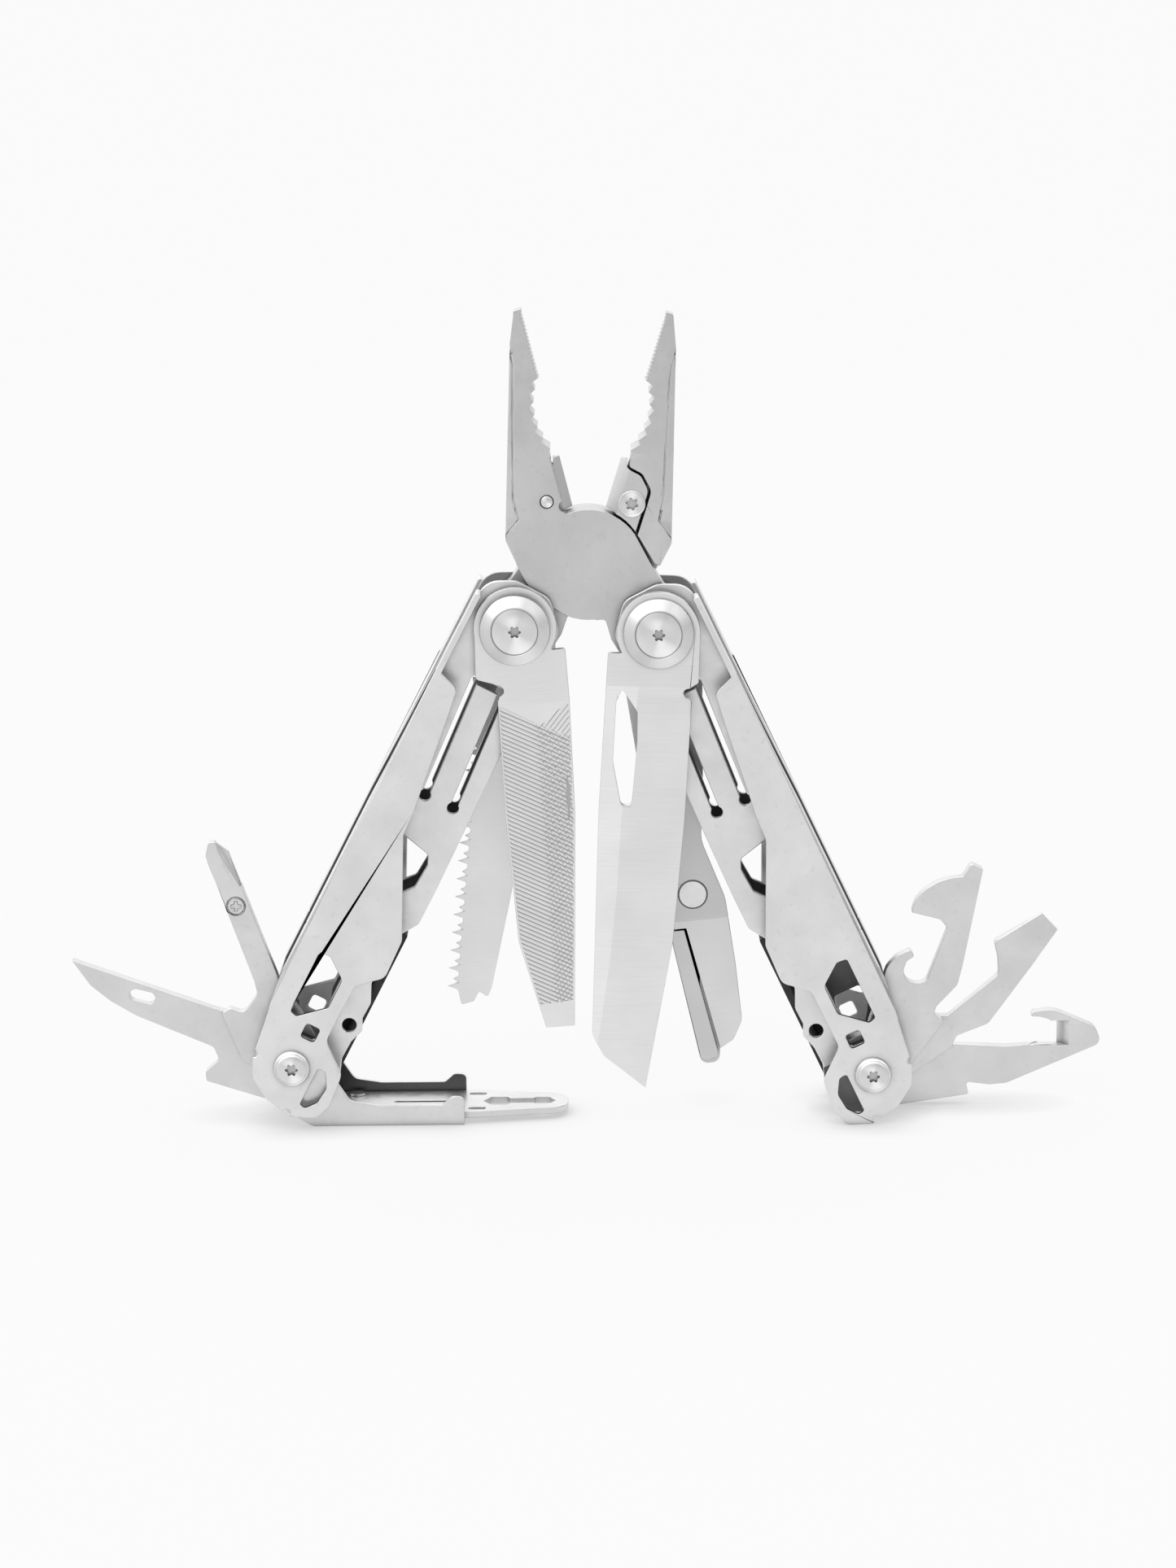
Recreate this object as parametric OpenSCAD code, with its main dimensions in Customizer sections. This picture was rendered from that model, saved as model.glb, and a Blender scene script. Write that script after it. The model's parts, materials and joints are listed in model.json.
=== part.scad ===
// Folding multi tool: pliers between two hinged handles, with tools folding out of both handles.
// X runs across the tool, Y from front to back and Z up. It stands on its open tray and on the
// end of its right handle. Every plate lies in the XZ plane and every hinge turns about Y.
// Outlines are in millimetres from the part's own pin; a third number on a point rounds it.

/* [Plier head] */
// Height of the plier pin above the ground
plier_height = 102.68; // [102.68:0.02:102.8]
// Sideways place of the plier pin
plier_side = 0.75; // [0.55:0.05:0.95]
// Half width between the two handle pins when the pliers are shut
tang_side = 9.33; // [9.25:0.02:9.45]
// Height of the plier pin above the handle pins when the pliers are shut
tang_drop = 14.1; // [13.9:0.1:14.3]
// Length of a jaw above the plier pin
jaw_length = 47.1; // [46:0.1:49]
// Thickness of the closed plier head
head_thickness = 8; // [7.6:0.1:8]

/* [Handles] */
// Distance between the two pins of a handle
handle_pitch = 90.4; // [90:0.1:90.8]
// Half width of a handle
handle_half = 9.4; // [9.4:0.1:9.6]
// Thickness of the liners
liner_thickness = 1.2; // [1:0.05:1.2]
// Thickness of the covers
cover_thickness = 1.0; // [0.8:0.05:1.2]
// Radius of the handle pins
pin_radius = 2.5; // [2.3:0.05:2.5]
// Radius of the turned caps on the handle pins
cap_radius = 6.3; // [6:0.1:6.4]

/* [Blades] */
// Thickness of the knife and the file
blade_thickness = 1.6; // [1.4:0.05:1.6]
// Thickness of the saw
saw_thickness = 1.0; // [0.8:0.05:1]
// Thickness of the small folding tools
tool_thickness = 2.4; // [2:0.1:2.4]

/* [Resting pose] */
// Opening of each jaw from shut
jaw_open = 15.8; // [15.6:0.1:15.8]
// Lean of the plier head to the right
head_lean = 1.8; // [1.6:0.1:2]
// Spread of the left handle from straight down
left_spread = 27.4; // [27.2:0.1:27.4]
// Spread of the right handle from straight down
right_spread = 25.2; // [25.1:0.1:25.3]
// Turn of the file from straight down, to the right
file_turn = 6.0; // [5:0.5:8]
// Turn of the knife from straight down, to the left
knife_turn = 2.1; // [1:0.1:3]
// Turn of the saw from straight down, to the left
saw_turn = 5.4; // [4:0.1:6]
// Turn of the scissors from straight down, to the right
scissors_turn = 5.8; // [5:0.1:7]

/* [Hidden] */

// Distances from the middle plane to each layer of plates
gap = 0.2;
channel_half = head_thickness / 2 + 2 * gap;
liner_outer = channel_half + liner_thickness;
low_blade = liner_outer + gap;
high_blade = low_blade + blade_thickness + gap;
cover_inner = high_blade + blade_thickness + gap;
cover_outer = cover_inner + cover_thickness;
cap_base = cover_inner - gap / 2;
cap_height = 1.9;
split = 0.05;

running = 0.05;
bottom_pin_radius = 2.2;
plier_pin_radius = 3;
round_fn = 64;
arc_step = 15;

plier_pin = [plier_side, plier_height];
left_pin = plier_pin + turned([-tang_side, -tang_drop], -jaw_open - head_lean);
right_pin = plier_pin + turned([tang_side, -tang_drop], jaw_open - head_lean);
left_foot = left_pin + turned([0, -handle_pitch], -left_spread);
right_foot = right_pin + turned([0, -handle_pitch], right_spread);
foot = [0, -handle_pitch];

steel = "gainsboro";
bright = "whitesmoke";
dark = "dimgray";

// A point turned about the origin, anticlockwise seen from the front
function turned(p, t) = [p.x * cos(t) - p.y * sin(t), p.x * sin(t) + p.y * cos(t)];
function unit(v) = v / norm(v);
function flat(p) = [p.x, p.y];

// The points of the arc of radius r that rounds the corner b between a and c
function corner(a, b, c, r) =
    let (
        u = unit(a - b), v = unit(c - b),
        half = acos(u * v) / 2,
        hub = b + unit(u + v) * r / sin(half),
        first = b + u * r / tan(half), last = b + v * r / tan(half),
        from = atan2(first.y - hub.y, first.x - hub.x),
        to = atan2(last.y - hub.y, last.x - hub.x),
        sweep = (to - from + 540) % 360 - 180,
        steps = max(1, ceil(abs(sweep) / arc_step))
    )
    [for (i = [0:steps]) hub + r * [cos(from + sweep * i / steps), sin(from + sweep * i / steps)]];

// A run of points, each of which may carry a rounding radius as its third number
function rounded(points) =
    let (n = len(points))
    [for (i = [0:n - 1])
        let (b = points[i])
        each (b[2] == undef || b[2] == 0) ? [flat(b)]
            : corner(flat(points[(i + n - 1) % n]), flat(b), flat(points[(i + 1) % n]), b[2])];

// Points along an arc about a centre
function arc(hub, r, from, to) =
    let (steps = max(1, ceil(abs(to - from) / (arc_step / 2))))
    [for (i = [0:steps]) hub + r * [cos(from + (to - from) * i / steps),
        sin(from + (to - from) * i / steps)]];

// A row of pointed teeth from one point to another, standing out to the left of the way
function teeth(from, to, count, depth) =
    let (way = unit(to - from), out = [-way.y, way.x], pitch = norm(to - from) / count)
    [for (i = [0:count - 1]) each [from + way * pitch * i,
        from + way * pitch * (i + 0.5) + out * depth]];

module outline(points) polygon(rounded(points));

// A plate with the outline of its children, between two distances behind the middle plane
module plate(y0, y1) translate([0, y1, 0]) rotate([90, 0, 0]) linear_extrude(y1 - y0) children();

// A round bar along Y, from y0 to y1, at a point of the XZ plane
module bar(p, r, y0, y1)
    translate([p.x, y1, p.y]) rotate([90, 0, 0]) cylinder(r = r, h = y1 - y0, $fn = round_fn);

// A long hole with round ends
module slot(a, b, r) {
    translate(a) circle(r, $fn = round_fn);
    translate(b) circle(r, $fn = round_fn);
    way = unit(b - a) * r;
    side = [-way.y, way.x];
    polygon([a + side, a - side, b - side, b + side]);
}

// Places: the part's own frame stands at pin p and turns t degrees anticlockwise
module placed(p, t) translate([p.x, 0, p.y]) rotate([0, -t, 0]) children();
module front_half_place() placed(plier_pin, jaw_open - head_lean) children();
module rear_half_place() placed(plier_pin, -jaw_open - head_lean) rotate([0, 0, 180]) children();
module left_place() placed(left_pin, -left_spread) children();
module right_place() placed(right_pin, right_spread) mirror([1, 0, 0]) children();
module rear() mirror([0, 1, 0]) children();
module both_sides() {
    children();
    rear() children();
}

// ---- Plier head: the front half is drawn shut, with its jaw to the left of the pin ----

cutter_top = 20.3;
grip_top = 34.7;
disc_clear = 10.5;
cutter_front = -1.2;
cutter_gap = 0.25;
cutter_screw = [-4.2, 13];
tang_radius = 7.3;
tang_pin = [tang_side, -tang_drop];
fine_teeth = 17;
grip_teeth = 7;

// Corner points of the pipe grip, an arc with teeth
grip_sag = 2.4;
grip_mid = (grip_top + cutter_top) / 2;
function grip_arc() =
    let (half = (grip_top - cutter_top) / 2, r = (half * half + grip_sag * grip_sag) / 2 / grip_sag,
        spread = asin(half / r))
    [for (i = [0:grip_teeth]) [r - grip_sag, grip_mid]
        + r * [-cos(spread * (1 - 2 * i / grip_teeth)), sin(spread * (1 - 2 * i / grip_teeth))]];
function grip_teeth_points() =
    let (p = grip_arc())
    [for (i = [0:grip_teeth - 1]) each [p[i], (p[i] + p[i + 1]) / 2 + [-0.9, 0.35]]];

// Outer edge, tip and teeth of a jaw, down to the cutter
jaw_edge = concat(
    rounded([[-12.3, 3.8], [-13.1, 8.2, 1.5], [-3.5, jaw_length - 5.4], [-1.35, jaw_length, 0.3],
        [-split, jaw_length]]),
    teeth([-split, jaw_length - 0.6], [-split, grip_top], fine_teeth, -0.5),
    [[-split, grip_top]],
    grip_teeth_points());

// The front layer of a half runs from the jaw over the disc to the tang
module front_layer() polygon(concat(
    jaw_edge,
    [[-1.7, cutter_top]],
    arc([0, 0], disc_clear - 0.35, 99, 19),
    rounded([[9.6, 3.2], [11.2, -3.3], [12.4, -7, 3], [tang_side + 7.3, -tang_drop, 5],
        [tang_side, -tang_drop - 7.3, 5], [1.9, -18, 1], [0.7, -14], [0.6, -10.2, 0.8], [-1, -9.9]]),
    arc([0, 0], 9.8, 262, 218),
    rounded([[-8, -6], [-11.3, -0.8, 2], [-12.3, 3.4]])));

// The back layer of the jaw stops short of the other half's disc
module back_layer() polygon(concat(
    jaw_edge,
    [[-1.7, cutter_top]],
    arc([0, 0], disc_clear, 99.4, 128),
    [[-11.2, 3.9]]));

// The jaw gets thinner from the cutter to its tip
module jaw_taper() translate([-20, 0, 0]) rotate([90, 0, 90]) linear_extrude(50)
    polygon([[-head_thickness / 2, -30], [head_thickness / 2, -30], [head_thickness / 2, 22],
        [2.1, jaw_length + 1], [-2.1, jaw_length + 1], [-head_thickness / 2, 22]]);

module cutter_outline(grow) polygon(concat(
    rounded([[1, cutter_top - 0.1 + grow], [-1.3 - grow, cutter_top - 0.1 + grow],
        [-1.6 - grow, 18.9 + grow, 0.6], [-4.4, 18.4 + grow, 1.6], [-6.6 - grow, 16.2, 2],
        [-6.6 - grow, 8.2 - grow]]),
    arc([0, 0], disc_clear - grow, 127, 86)));

module plier_half() difference() {
    intersection() {
        union() {
            plate(-head_thickness / 2, -split) difference() {
                front_layer();
                translate([-1.2, 11.3]) circle(1.2, $fn = round_fn);
            }
            plate(-split, head_thickness / 2) back_layer();
            plate(-split, head_thickness / 2) difference() {
                translate(tang_pin) circle(tang_radius - 0.2, $fn = round_fn);
                circle(11.7, $fn = round_fn);
            }
        }
        jaw_taper();
    }
    plate(cutter_front, head_thickness / 2 + 1) cutter_outline(cutter_gap);
    bar([0, 0], plier_pin_radius, -head_thickness / 2 + 1.2, 1);
    bar(tang_pin, pin_radius + running, -head_thickness, head_thickness);
    bar(cutter_screw, 1.25, -head_thickness, 0);
}

// Each cutter is held in a pocket in the far side of its jaw and is ground to an edge
module cutter() difference() {
    intersection() {
        plate(cutter_front, head_thickness / 2) cutter_outline(0);
        linear_extrude(40) polygon([[-8, cutter_front], [-1.7, cutter_front], [-split, 0],
            [-2.2, head_thickness / 2], [-8, head_thickness / 2]]);
    }
    bar(cutter_screw, 1.25, -head_thickness, head_thickness);
}

// Six-lobed drive recess
module drive_recess(r) {
    circle(r * 0.72, $fn = 24);
    for (i = [0:5]) rotate(60 * i) translate([r * 0.72, 0]) circle(r * 0.28, $fn = 16);
}

module cutter_screw_body() difference() {
    union() {
        bar(cutter_screw, 1.25, -head_thickness / 2, head_thickness / 2);
        bar(cutter_screw, 2.4, head_thickness / 2, head_thickness / 2 + 0.25);
    }
    plate(head_thickness / 2 - 0.5, head_thickness) translate(cutter_screw) drive_recess(1.1);
}

module plier_front_jaw() color(steel) front_half_place() plier_half();
module plier_rear_jaw() color(steel) rear_half_place() difference() {
    plier_half();
    bar([0, 0], plier_pin_radius + running, -head_thickness, head_thickness);
}
module plier_pivot_pin() color(steel)
    placed(plier_pin, 0) bar([0, 0], plier_pin_radius, -head_thickness / 2 + 1.2, head_thickness / 2);
module left_cutter() color(steel) front_half_place() cutter();
module right_cutter() color(steel) rear_half_place() cutter();
module left_cutter_screw() color(bright) front_half_place() cutter_screw_body();
module right_cutter_screw() color(bright) rear_half_place() cutter_screw_body();

// ---- Handle: drawn hanging from its top pin, outer side to the left, front plates only ----

module liner_outline() difference() {
    outline([[-8.4, 5.0, 4], [-3.4, 7.6, 3], [3.4, 7.4, 3], [7.6, 2.4, 3], [7.6, -10],
        [8.3, -23], [9, -50], [9, -57, 2], [6.4, -61, 1], [5.6, -66], [-handle_half, -66],
        [-handle_half, -40]]);
    circle(pin_radius, $fn = round_fn);
    // Two slots free the leaf that locks the blade
    slot([-2.2, -11.8], [-0.7, -34.9], 0.65);
    slot([3.4, -11.8], [4.9, -34.8], 0.65);
    slot([-2.2, -11.8], [3.4, -11.8], 0.65);
    translate([-0.7, -34.9]) circle(1.05, $fn = round_fn);
    translate([4.9, -34.8]) circle(1.05, $fn = round_fn);
    outline([[-4, -43, 0.8], [-1, -43.2], [4.7, -44.5, 1], [5.5, -46.4, 1], [5.2, -51, 1],
        [3.4, -53.2, 0.8], [-4, -53.2, 0.8]]);
}

module cover_outline() difference() {
    outline([[-handle_half, -12.6], [-8.4, -12.6, 0.4], [-4.5, -13.9, 1.4], [-3.8, -18.5, 1],
        [-1.4, -38, 3], [-1.2, -42.2, 2], [7.3, -60, 1.5], [7.6, -67.6, 2.2], [3.4, -71.3, 1.4],
        [3.3, -83, 1.8], [8.7, -87.6, 2], [9.3, -93.8, 2], [8.2, -97, 1.6], [3.8, -98.8, 0.6],
        [-1.6, -97.8, 2], [-5.6, -95.2, 2], [-7.3, -91.6, 1], [-handle_half, -76]]);
    outline([[-4.9, -68.6, 0.5], [-3, -68.4, 0.8], [0.9, -71.4, 1.2], [0.9, -77.2, 0.8],
        [-3.6, -81.2, 0.6], [-4.9, -80.8, 0.5]]);
    translate([0.1, -82.9]) outline([for (i = [0:3]) concat(turned([1.4, 1.4], 90 * i), 0.6)]);
    outline([[4.3, -88.2, 0.5], [5.8, -88.4, 0.9], [7.3, -91, 1.5], [7, -94.2, 1.4],
        [5.4, -96.2, 0.8], [4.3, -95.8, 0.4]]);
    translate([2.9, -98.4]) circle(0.75, $fn = round_fn);
    translate([-7.4, -91]) circle(0.75, $fn = round_fn);
    translate(foot) circle(bottom_pin_radius, $fn = round_fn);
}

// The right rear plate has a smaller window than the others
lock_window = [[-5.4, -69.4, 0.8], [-3, -69, 0.8], [0.9, -71.8, 1], [0.9, -77.4, 1],
    [2, -81.2, 1], [1.9, -85.2, 0.8], [-1.8, -85.4, 0.8], [-3.4, -82.6, 1], [-5.4, -81.6, 0.6]];
small_lock_window = [[-4.2, -78, 0.6], [1, -78, 0.6], [2, -81.2, 0.8], [1.9, -85.2, 0.8],
    [-1.8, -85.4, 0.8], [-4, -82, 0.8]];

module lock_plate_outline(window) difference() {
    outline([[-handle_half, -66.2], [5.6, -66.2], [6.3, -70.9, 1.5], [7.8, -74.2, 1.5],
        [7.7, -77.5, 1], [8.7, -79.6, 1], [7.8, -82.4, 1.5], [7.7, -86, 1.5], [8.8, -89, 1.5],
        [8.7, -93.6, 2], [7, -96.4, 1.6], [3.2, -98.4, 1.5], [-2, -97.4, 2], [-5.6, -95, 2],
        [-7, -91.6, 1], [-handle_half, -76]]);
    translate([6.1, -79.7]) circle(1.3, $fn = round_fn);
    outline(window);
    translate(foot) circle(bottom_pin_radius, $fn = round_fn);
}

module liner() plate(-liner_outer, -channel_half) liner_outline();
module lock_plate(window = lock_window)
    plate(-liner_outer, -channel_half) lock_plate_outline(window);
module cover() {
    plate(-cover_outer, -cover_inner) cover_outline();
    // Wall along the outer side, which joins the cover to the liner
    plate(-cover_outer, -liner_outer) outline([[-8.2, 3.2, 0.4], [-9.2, 3.2, 0.4],
        [-handle_half, -40], [-handle_half, -76], [-8.5, -83], [-7.5, -83],
        [-8.4, -76], [-8.4, -40]]);
}
module spine() plate(-channel_half, channel_half)
    outline([[7.2, -18, 0.4], [8.1, -18, 0.4], [8.9, -50], [8.9, -57, 0.4], [8, -57, 0.4], [7.9, -50]]);
module back_spring() plate(-channel_half, channel_half)
    outline([[6.9, -60, 0.4], [8.3, -60, 0.4], [8.4, -88.4, 0.6], [7, -88.4, 0.4]]);

module top_pin() bar([0, 0], pin_radius, -cap_base, cap_base);
module top_cap() difference() {
    translate([0, -cap_base, 0]) rotate([90, 0, 0]) rotate_extrude($fn = round_fn)
        polygon([[0, 0], [cap_radius, 0], [cap_radius, 0.5], [4.35, cap_height - 0.1],
            [4.2, cap_height - 0.1], [4.2, cap_height - 0.3], [0, cap_height]]);
    plate(-cap_base - cap_height - 1, -cap_base - 0.5) drive_recess(1.25);
}
module ring(p, outer, inner, y0, y1) difference() {
    bar(p, outer, y0, y1);
    bar(p, inner, y0 - 1, y1 + 1);
}

module bottom_pin() bar(foot, bottom_pin_radius, -cover_outer, cover_outer);
module bottom_screw() difference() {
    translate([foot.x, -cover_outer, foot.y]) rotate([90, 0, 0]) rotate_extrude($fn = round_fn)
        polygon([[0, 0], [3.3, 0], [3.3, 0.6], [2.5, 1.2], [0, 1.25]]);
    plate(-cover_outer - 3, -cover_outer - 0.4) translate(foot) drive_recess(1.2);
}

module left_liner_front() color(steel) left_place() liner();
module left_liner_rear() color(steel) left_place() rear() liner();
module left_spine() color(steel) left_place() spine();
module left_cover_front() color(steel) left_place() cover();
module left_cover_rear() color(steel) left_place() rear() cover();
module left_lock_plate_front() color(steel) left_place() lock_plate();
module left_lock_plate_rear() color(steel) left_place() rear() lock_plate();
module left_back_spring() color(dark) left_place() back_spring();
module left_top_pin() color(steel) left_place() top_pin();
module left_top_cap_front() color(bright) left_place() top_cap();
module left_top_cap_rear() color(bright) left_place() rear() top_cap();
module left_bottom_pin() color(steel) left_place() bottom_pin();
module left_bottom_screws() color(bright) left_place() both_sides() bottom_screw();
module right_liner_front() color(steel) right_place() liner();
module right_liner_rear() color(steel) right_place() rear() liner();
module right_spine() color(steel) right_place() spine();
module right_cover_front() color(steel) right_place() cover();
module right_cover_rear() color(steel) right_place() rear() cover();
module right_lock_plate_front() color(steel) right_place() lock_plate();
module right_lock_plate_rear() color(steel) right_place() rear() lock_plate(small_lock_window);
module right_back_spring() color(dark) right_place() back_spring();
module right_top_pin() color(steel) right_place() top_pin();
module right_top_cap_front() color(bright) right_place() top_cap();
module right_top_cap_rear() color(bright) right_place() rear() top_cap();
module right_bottom_pin() color(steel) right_place() bottom_pin();
module right_bottom_screws() color(bright) right_place() both_sides() bottom_screw();

// At the front the file lies inside and the knife outside; at the rear the scissors lie inside
// and the saw outside, so the blades of the two handles can pass. Washers fill the rest.
top_washer_radius = 5;
saw_inner = cover_inner - gap - saw_thickness;
saw_outer = cover_inner - gap;
scissors_inner = low_blade;
scissors_plate = 1.05;
scissors_split = scissors_inner + scissors_plate;
scissors_outer = scissors_split + 0.1 + scissors_plate;
module left_top_washers() color(bright) left_place() {
    ring([0, 0], top_washer_radius, pin_radius, -cap_base, -high_blade);
    ring([0, 0], top_washer_radius, pin_radius, low_blade, saw_inner - gap);
}
module right_top_washers() color(bright) right_place() {
    ring([0, 0], top_washer_radius, pin_radius, -high_blade + gap, -low_blade);
    ring([0, 0], top_washer_radius, pin_radius, scissors_outer + gap, cap_base);
}

// ---- Blades on the top pins, drawn pointing straight down ----

module pin_bore() circle(pin_radius + running, $fn = round_fn);
blade_tang = 7.4;

nick_depth = 0.5;
module file_outline() difference() {
    polygon(concat(
        arc([0, 0], blade_tang, -36, 180),
        rounded([[-7.4, -1], [-8.1, -8.4, 0.8], [-3.4, -10.2, 0.6], [-4.6, -12.9, 0.4], [-5.7, -34],
            [-6.1, -57.5, 6], [-3, -74], [2.2, -74.2], [6.8, -35], [8.2, -14],
            [8.5, -4.6, 0.4], [6.2, -4.6]])));
    translate([-4.3, -11]) circle(1, $fn = round_fn);
    pin_bore();
}
module file() color(steel) placed(left_pin, file_turn) difference() {
    plate(-low_blade - blade_thickness, -low_blade) file_outline();
    // Nail nick
    plate(-low_blade - blade_thickness - 1, -low_blade - blade_thickness + nick_depth)
        slot([6.35, -28.6], [5.75, -35.4], 0.32);
}

saw_teeth = 16;
saw_pitch = 3.43;
module saw_outline() difference() {
    polygon(concat(
        arc([0, 0], blade_tang, 178, 2),
        rounded([[7.4, -1], [7.9, -10, 0.8], [3.2, -54], [1.2, -70.6, 0.6], [0.6, -72.6, 0.4],
            [-1.1, -71.6, 0.4], [-1.9, -73.6, 0.4], [-4.2, -74.5, 0.5], [-4.9, -72, 0.2]]),
        [for (i = [0:saw_teeth - 1]) let (z = -71.6 + i * saw_pitch) each
            [[-5.2, z], [-7.1, z + 0.5], [-5, z + 1.3], [-6.1, z + 2], [-5.1, z + 2.6]]],
        [[-6.6, -14.4], [-7.6, -9]]));
    translate([-6.6, -11.4]) circle(1, $fn = round_fn);
    pin_bore();
}
module saw() color(steel) placed(left_pin, -saw_turn) plate(saw_inner, saw_outer) saw_outline();

module knife_outline() difference() {
    polygon(concat(
        arc([0, 0], blade_tang, 210, 2),
        rounded([[7.4, -1], [7.4, -8.8, 0.5], [5, -10.4, 0.5], [6.3, -12.4, 0.3], [5.7, -34],
            [4.3, -57], [0.2, -84.4], [-7.6, -78.4, 3], [-9.8, -74.4, 3], [-9.8, -33],
            [-8.9, -3.8, 0.3], [-6.6, -3.8]])));
    translate([5.7, -10.8]) circle(0.9, $fn = round_fn);
    // Thumb hole
    outline([[-6.2, -10.2, 0.3], [-3.3, -14.4, 1.2], [-3.2, -20, 4], [-3.9, -31.4, 0.8],
        [-5.8, -31.6, 0.8], [-7.5, -23.6, 4], [-7.2, -12.6, 2]]);
    pin_bore();
}
module knife() color(steel) placed(right_pin, -knife_turn)
    plate(-high_blade - blade_thickness, -high_blade) knife_outline();

scissors_rivet_at = [1, -52];
scissors_rivet_radius = 1.2;
module scissors_outline() difference() {
    polygon(concat(
        arc([0, 0], blade_tang, 178, 2),
        rounded([[7.2, -10], [5.2, -30], [3.6, -42, 6], [6.9, -53.4, 5], [7.5, -66],
            [7.6, -77, 3], [5.6, -80.6, 1.5], [3, -82], [-0.9, -58.4], [-3.2, -58.4, 0.4],
            [-4.2, -48, 4], [-6.2, -30], [-7.4, -8]])));
    translate([6.9, -11]) circle(1, $fn = round_fn);
    pin_bore();
    translate(scissors_rivet_at) circle(scissors_rivet_radius, $fn = round_fn);
}
module scissors_blade() color(steel) placed(right_pin, scissors_turn)
    plate(scissors_inner, scissors_split) scissors_outline();
module scissors_lever() color(steel) placed(right_pin, scissors_turn) {
    difference() {
        plate(scissors_split + 0.1, scissors_outer)
            outline([[3.6, -48, 2], [2.6, -58], [3.6, -78, 1], [2.6, -84.8, 1.5], [-0.8, -84.8, 1.5],
                [-3.7, -61.5], [-3.4, -54, 2], [-2.6, -40], [-4, -24, 1], [-0.6, -22, 1],
                [1.2, -40]]);
        bar(scissors_rivet_at, scissors_rivet_radius + running, 0, 20);
    }
    plate(scissors_inner + 0.3, scissors_split + 0.2)
        outline([[-3.5, -60.4], [-1.65, -60.4], [2.3, -83.4, 1.2], [-0.6, -84.4, 1.2],
            [-3.6, -61.5]]);
}
module scissors_rivet() color(bright) placed(right_pin, scissors_turn) {
    bar(scissors_rivet_at, scissors_rivet_radius, scissors_inner, scissors_outer);
    bar(scissors_rivet_at, 2.5, scissors_inner - 0.15, scissors_inner);
}
module scissors_spring() color(dark) placed(right_pin, scissors_turn)
    plate(scissors_split + 0.1, scissors_split + 0.9)
    outline([[3.6, -9.5, 0.3], [4.6, -9.5, 0.3], [4.6, -15, 2], [2, -21.4, 0.3], [1.3, -20.8, 0.3],
        [3.6, -15, 2]]);

// ---- Tools on the bottom pins, drawn from the pin as they stand when opened ----

tool_tang = 6.2;
module tool_bore() circle(bottom_pin_radius + running, $fn = round_fn);

phillips_y = -3.8;
awl_y = -1.1;
mark_depth = 0.12;
module phillips_outline() difference() {
    polygon(concat(
        arc([0, 0], tool_tang, 200, 370),
        rounded([[5.9, 1.6], [-2.2, 14.4, 2], [-9.2, 33.8], [-11, 38.8, 0.8], [-13.6, 40.8, 0.4],
            [-14.6, 40.8, 0.4], [-15.2, 38, 0.5], [-13.5, 33.4], [-7, 14.8], [-6.4, 12.2, 1.5],
            [-9, 8.6, 1.5], [-11.6, 9.6, 0.8], [-13, 8.6, 0.5], [-9.4, -0.4]])));
    tool_bore();
}
module plus_mark(outer) {
    difference() {
        circle(outer, $fn = round_fn);
        circle(outer - 0.25, $fn = round_fn);
    }
    square([1.9, 0.55], center = true);
    square([0.55, 1.9], center = true);
}
module phillips_driver() color(steel) placed(left_foot, 0) difference() {
    plate(phillips_y, phillips_y + tool_thickness) phillips_outline();
    // Round mark with a plus
    plate(phillips_y - 1, phillips_y + mark_depth) translate([-9.9, 28.8]) plus_mark(1.75);
}

module awl_outline() difference() {
    polygon(concat(
        arc([0, 0], tool_tang, 250, 435),
        rounded([[1.6, 6.1], [-13.5, 8.4, 2], [-40.5, 18.2], [-37.2, 13.4], [-33.6, 10.4], [-29, 7.6],
            [-15, 1.5, 1.2], [-14, -1, 1], [-16.6, -3.2, 0.6], [-16.5, -5, 0.5],
            [-5.4, -8.6, 1], [-2.1, -6]])));
    slot([-29, 11.5], [-26.6, 10.9], 1.15);
    tool_bore();
}
module awl() color(steel) placed(left_foot, 0) plate(awl_y, awl_y + tool_thickness) awl_outline();

// The tray is a channel whose two arms turn on the left bottom pin
tray_floor = -11.8;
tray_length = 31.2;
tray_wall = 1;
tray_outer = saw_inner - gap;
tray_inner = tray_outer - tray_wall;
module tray_side() difference() {
    polygon(concat(
        arc([0, 0], 5.4, 10, 215),
        rounded([[-4.3, -3.6], [-1.2, -9, 2], [3.4, tray_floor, 2], [tray_length, tray_floor],
            [tray_length, -6.6, 1], [29, -6.4, 1], [27.2, -8, 1], [15.4, -8, 3],
            [10.4, -7.2, 2], [5.4, 0.5]])));
    tool_bore();
}
module wrench_tray() color(steel) placed(left_foot, 0) {
    both_sides() plate(-tray_outer, -tray_inner) tray_side();
    translate([4.4, -tray_inner - 0.1, tray_floor])
        cube([tray_length - 4.4, 2 * tray_inner + 0.2, tray_wall]);
}

// Flat wrench riveted to the tray, with a hexagon-ended slot
tongue_from = 8;
tongue_to = 50.2;
tongue_half = 6.9;
tongue_thickness = 1.2;
hex_radius = 2.9;
rivet_places = [[11, -4.6], [11, 4.6]];
module tongue_outline() difference() {
    outline([[tongue_from, -tongue_half, 0.5], [34, -tongue_half], [44, -5.2, 3],
        [tongue_to, -4.6, 4], [tongue_to, 4.6, 4], [44, 5.2, 3], [34, tongue_half],
        [tongue_from, tongue_half, 0.5]]);
    slot([18.5, 0], [27.5, 0], 0.5);
    translate([37.4, 0]) circle(hex_radius, $fn = 6);
    translate([45.4, 0]) circle(hex_radius * 0.86, $fn = 6);
    translate([41.4, 0]) square([8, 3], center = true);
    for (y = [-4.6, 4.6]) slot([32.6, y], [34.2, y], 0.8);
    for (p = rivet_places) translate(p) circle(0.9, $fn = round_fn);
}
module wrench_tongue() color(steel) placed(left_foot, 0)
    translate([0, 0, tray_floor + tray_wall]) linear_extrude(tongue_thickness) tongue_outline();
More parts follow.
